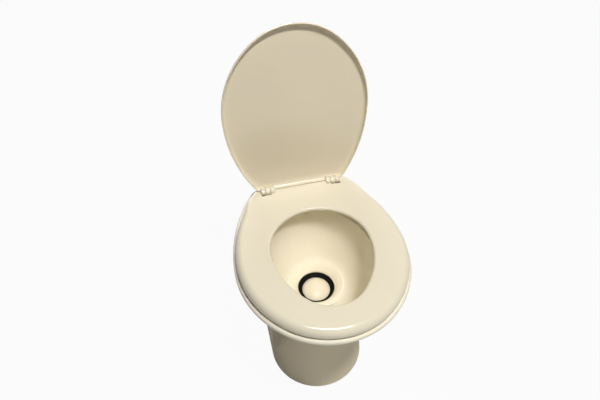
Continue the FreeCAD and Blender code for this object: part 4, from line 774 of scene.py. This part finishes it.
def stud_rows(x, y, foot, head, radius=0.004, pitch=0.00125, depth=0.0006, steps=8, columns=40):
    """Rows of a threaded rod: its radius falls from the crest by the depth of the thread as a
    triangle wave of height in pitches less turns, and tapers at both ends."""
    z = np.linspace(foot, head, int((head - foot) / pitch * steps))[:, None]
    turn = np.linspace(0, 1, columns, endpoint=False)[None]
    wave = np.abs((z / pitch - turn) % 1 - 0.5) * 2
    end = np.minimum(z - foot, head - z)
    r = np.minimum(radius - depth * wave, radius - 2 * depth + end)
    return np.stack([x + r * np.cos(2 * np.pi * turn), y + r * np.sin(2 * np.pi * turn),
                     z + 0 * turn], -1)


class TOILET_OT_spring(bpy.types.Operator):
    """Builds the return spring of the pedal as a coil"""
    bl_idname = "toilet.spring"
    bl_label = "Return spring"

    def execute(self, context):
        piece = skin("pedal_spring", coil_rows(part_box("return_spring")))
        soft_shaded(piece, crease=60)
        dress(piece, "frame", "steel", finish("Stainless"), "return_spring")
        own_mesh(piece)
        return {"FINISHED"}


def coil_rows(box, wire=0.0011, turns=9, closed=0.0024, steps=48, columns=12):
    """Rows along the wire of a compression spring: a helix whose first and last turn lie nearly
    flat, with a round of the wire's radius across the radial and the upright direction."""
    least, most = box
    centre = (least + most) / 2
    radius = (most.x - least.x) / 2 - wire
    turn = np.linspace(0, turns, turns * steps + 1)
    foot, head = least.z + wire, most.z - wire
    z = np.interp(turn, [0, 1, turns - 1, turns], [foot, foot + closed, head - closed, head])
    angle = 2 * np.pi * turn
    out = np.stack([np.cos(angle), np.sin(angle), 0 * angle], -1)[:, None]
    middle = np.stack([0 * z + centre.x, 0 * z + centre.y, z], -1)[:, None] + radius * out
    round_wire = np.linspace(0, 2 * np.pi, columns, endpoint=False)[None, :, None]
    return middle + wire * (np.cos(round_wire) * out + np.sin(round_wire) * np.array([0, 0, 1.0]))


class TOILET_OT_hose(bpy.types.Operator):
    """Lays the supply hose on a smooth line from the water valve up to the vacuum breaker"""
    bl_idname = "toilet.hose"
    bl_label = "Supply hose"

    def execute(self, context):
        route = np.array(HOSE_ROUTE)
        data = bpy.data.curves.new("water_hose", "CURVE")
        data.dimensions = "3D"
        data.bevel_depth = HOSE_RADIUS
        data.bevel_resolution = 8
        data.use_fill_caps = True
        line = data.splines.new("NURBS")
        line.points.add(len(route) - 1)
        line.points.foreach_set("co", np.column_stack([route, np.ones(len(route))]).ravel())
        line.order_u = 3
        line.use_endpoint_u = True
        line.resolution_u = 24
        piece = bpy.data.objects.new("water_hose", data)
        bpy.context.scene.collection.objects.link(piece)
        dress(piece, "frame", "grey_rubber", finish("HoseRubber"), "supply_hose")
        return {"FINISHED"}


class TOILET_OT_finishes(bpy.types.Operator):
    """Gives the carried-over CAD pieces their finishes"""
    bl_idname = "toilet.finishes"
    bl_label = "Finishes of the CAD pieces"

    def execute(self, context):
        refinish(finish("BoneSatin"), "pedestal", "vacuum_breaker", "breaker_cap", "rinse_nozzle")
        refinish(finish("BoneGloss"), "pedal_lever")
        refinish(finish("BallPolish"), "flush_ball")
        refinish(finish("WhiteMoulding"), "valve_housing", "pedal_bracket", "water_valve",
                 "hinge_washers", "hinge_nuts")
        refinish(finish("NaturalNylon"), "hinge_pin_left", "hinge_pin_right",
                 "shaft_bush_rear", "shaft_bush_front", "valve_plunger", "valve_post")
        refinish(finish("GearPlastic"), "ball_pinion", "sector_gear", "valve_cam")
        refinish(finish("SealRubber"), "outlet_seal", "floor_seal", "pedal_tread")
        refinish(finish("BumperRubber"), "seat_bumpers")
        refinish(finish("Stainless"), "clamp_band", "clamp_screw", "ball_drive_shaft",
                 "ball_pivot_pin", "pedal_shaft", "bracket_screws", "hose_clamps")
        return {"FINISHED"}


# Stage.

def seen_white(tree):
    """A mask that is 1 for rays that look at the background: camera, glossy and transmission."""
    path = add(tree, "ShaderNodeLightPath").outputs
    first = add(tree, "ShaderNodeMath", {0: path["Is Camera Ray"], 1: path["Is Glossy Ray"]},
                operation="MAXIMUM")
    return add(tree, "ShaderNodeMath", {0: first.outputs[0], 1: path["Is Transmission Ray"]},
               operation="MAXIMUM").outputs[0]


def lamp(name, place, aim, wide, deep, power):
    """A soft box that looks at a point, with its wide side along X."""
    data = bpy.data.lights.new(name, "AREA")
    data.shape = "RECTANGLE"
    data.size = wide
    data.size_y = deep
    data.energy = power
    made = bpy.data.objects.new(name, data)
    made.location = place
    made.rotation_euler = (Vector(aim) - Vector(place)).to_track_quat("-Z", "Y").to_euler()
    bpy.context.scene.collection.objects.link(made)
    return made


class TOILET_OT_stage(bpy.types.Operator):
    """Sets the pale floor, the soft studio light and the camera at the photograph's angle"""
    bl_idname = "toilet.stage"
    bl_label = "Stage"

    def execute(self, context):
        scene = context.scene
        scene.view_settings.view_transform = "Standard"
        world = bpy.data.worlds.new("StudioAir")
        scene.world = world
        world.use_nodes = True
        tree = world.node_tree
        tree.nodes.clear()
        air = add(tree, "ShaderNodeBackground", {"Color": (1.0, 0.985, 0.96, 1),
                                                 "Strength": AIR_LIGHT})
        white = add(tree, "ShaderNodeBackground", {"Color": (1, 1, 1, 1), "Strength": 1.0})
        mixed = add(tree, "ShaderNodeMixShader", {0: seen_white(tree), 1: air.outputs[0],
                                                  2: white.outputs[0]})
        add(tree, "ShaderNodeOutputWorld", {"Surface": mixed.outputs[0]})

        floor = skin("floor", block_rows((-FLOOR_HALF, -FLOOR_HALF, FLOOR_UNDER),
                                         (FLOOR_HALF, FLOOR_HALF, FLOOR_TOP)))
        paint = bpy.data.materials.new("PaleFloor")
        paint.use_nodes = True
        tree = paint.node_tree
        tree.nodes.clear()
        matt = add(tree, "ShaderNodeBsdfDiffuse", {"Color": (0.45, 0.44, 0.42, 1)})
        glow = add(tree, "ShaderNodeEmission", {"Color": (1, 1, 1, 1), "Strength": 1.0})
        keep = add(tree, "ShaderNodeMath", {0: seen_white(tree), 1: FLOOR_GLOW},
                   operation="MULTIPLY")
        mixed = add(tree, "ShaderNodeMixShader", {0: keep.outputs[0], 1: matt.outputs[0],
                                                  2: glow.outputs[0]})
        add(tree, "ShaderNodeOutputMaterial", {"Surface": mixed.outputs[0]})
        floor.data.materials.append(paint)

        # Key and card light the colours, and the glint shines in the gloss alone.
        key = lamp("Key", place=(0.41, -0.82, 3.1), aim=SEAT_MIDDLE, wide=0.60, deep=0.24, power=66)
        key.visible_glossy = False
        card = lamp("Card", place=(0.05, -1.10, 0.16), aim=(0, 0, 0.12), wide=0.30, deep=0.30,
                    power=1.25)
        card.visible_glossy = False
        glint = lamp("Glint", place=(-0.04, -0.76, 2.3), aim=SEAT_MIDDLE, wide=1.0, deep=0.24,
                     power=36)
        glint.visible_diffuse = False
        lamp("Back", place=(0, 2.2, 1.7), aim=(0, 0, 0.45), wide=0.8, deep=1.2, power=14)

        data = bpy.data.cameras.new("PhotoCamera")
        data.sensor_width = CAMERA_SENSOR
        data.lens = CAMERA_LENS
        eye = bpy.data.objects.new("PhotoCamera", data)
        back = Vector(CAMERA_BACK).normalized()
        right = Vector(CAMERA_UP).cross(back).normalized()
        up = back.cross(right)
        turn = Matrix((right, up, back)).transposed().to_4x4()
        eye.matrix_world = Matrix.Translation(CAMERA_PLACE) @ turn
        scene.collection.objects.link(eye)
        scene.camera = eye
        return {"FINISHED"}


class TOILET_PT_panel(bpy.types.Panel):
    """Lists the steps of the toilet in the sidebar"""
    bl_idname = "TOILET_PT_panel"
    bl_label = "Camper toilet"
    bl_space_type = "VIEW_3D"
    bl_region_type = "UI"
    bl_category = "Toilet"

    def draw(self, context):
        for step in STEPS:
            self.layout.operator(step.bl_idname)


STEPS = (TOILET_OT_stage, TOILET_OT_bowl, TOILET_OT_seat, TOILET_OT_lid, TOILET_OT_hinges,
         TOILET_OT_spring, TOILET_OT_hose, TOILET_OT_finishes)
CLASSES = (SeatSizes, LidSizes, BowlSizes, Finishes, ToiletSettings, *STEPS, TOILET_PT_panel)


def register():
    for kind in CLASSES:
        bpy.utils.register_class(kind)
    bpy.types.Scene.toilet = bpy.props.PointerProperty(type=ToiletSettings)


def unregister():
    del bpy.types.Scene.toilet
    for kind in reversed(CLASSES):
        bpy.utils.unregister_class(kind)


def main():
    register()
    bpy.ops.toilet.stage()
    bpy.ops.toilet.bowl()
    bpy.ops.toilet.seat()
    bpy.ops.toilet.lid()
    bpy.ops.toilet.hinges()
    bpy.ops.toilet.spring()
    bpy.ops.toilet.hose()
    bpy.ops.toilet.finishes()


if __name__ == "__main__":
    main()
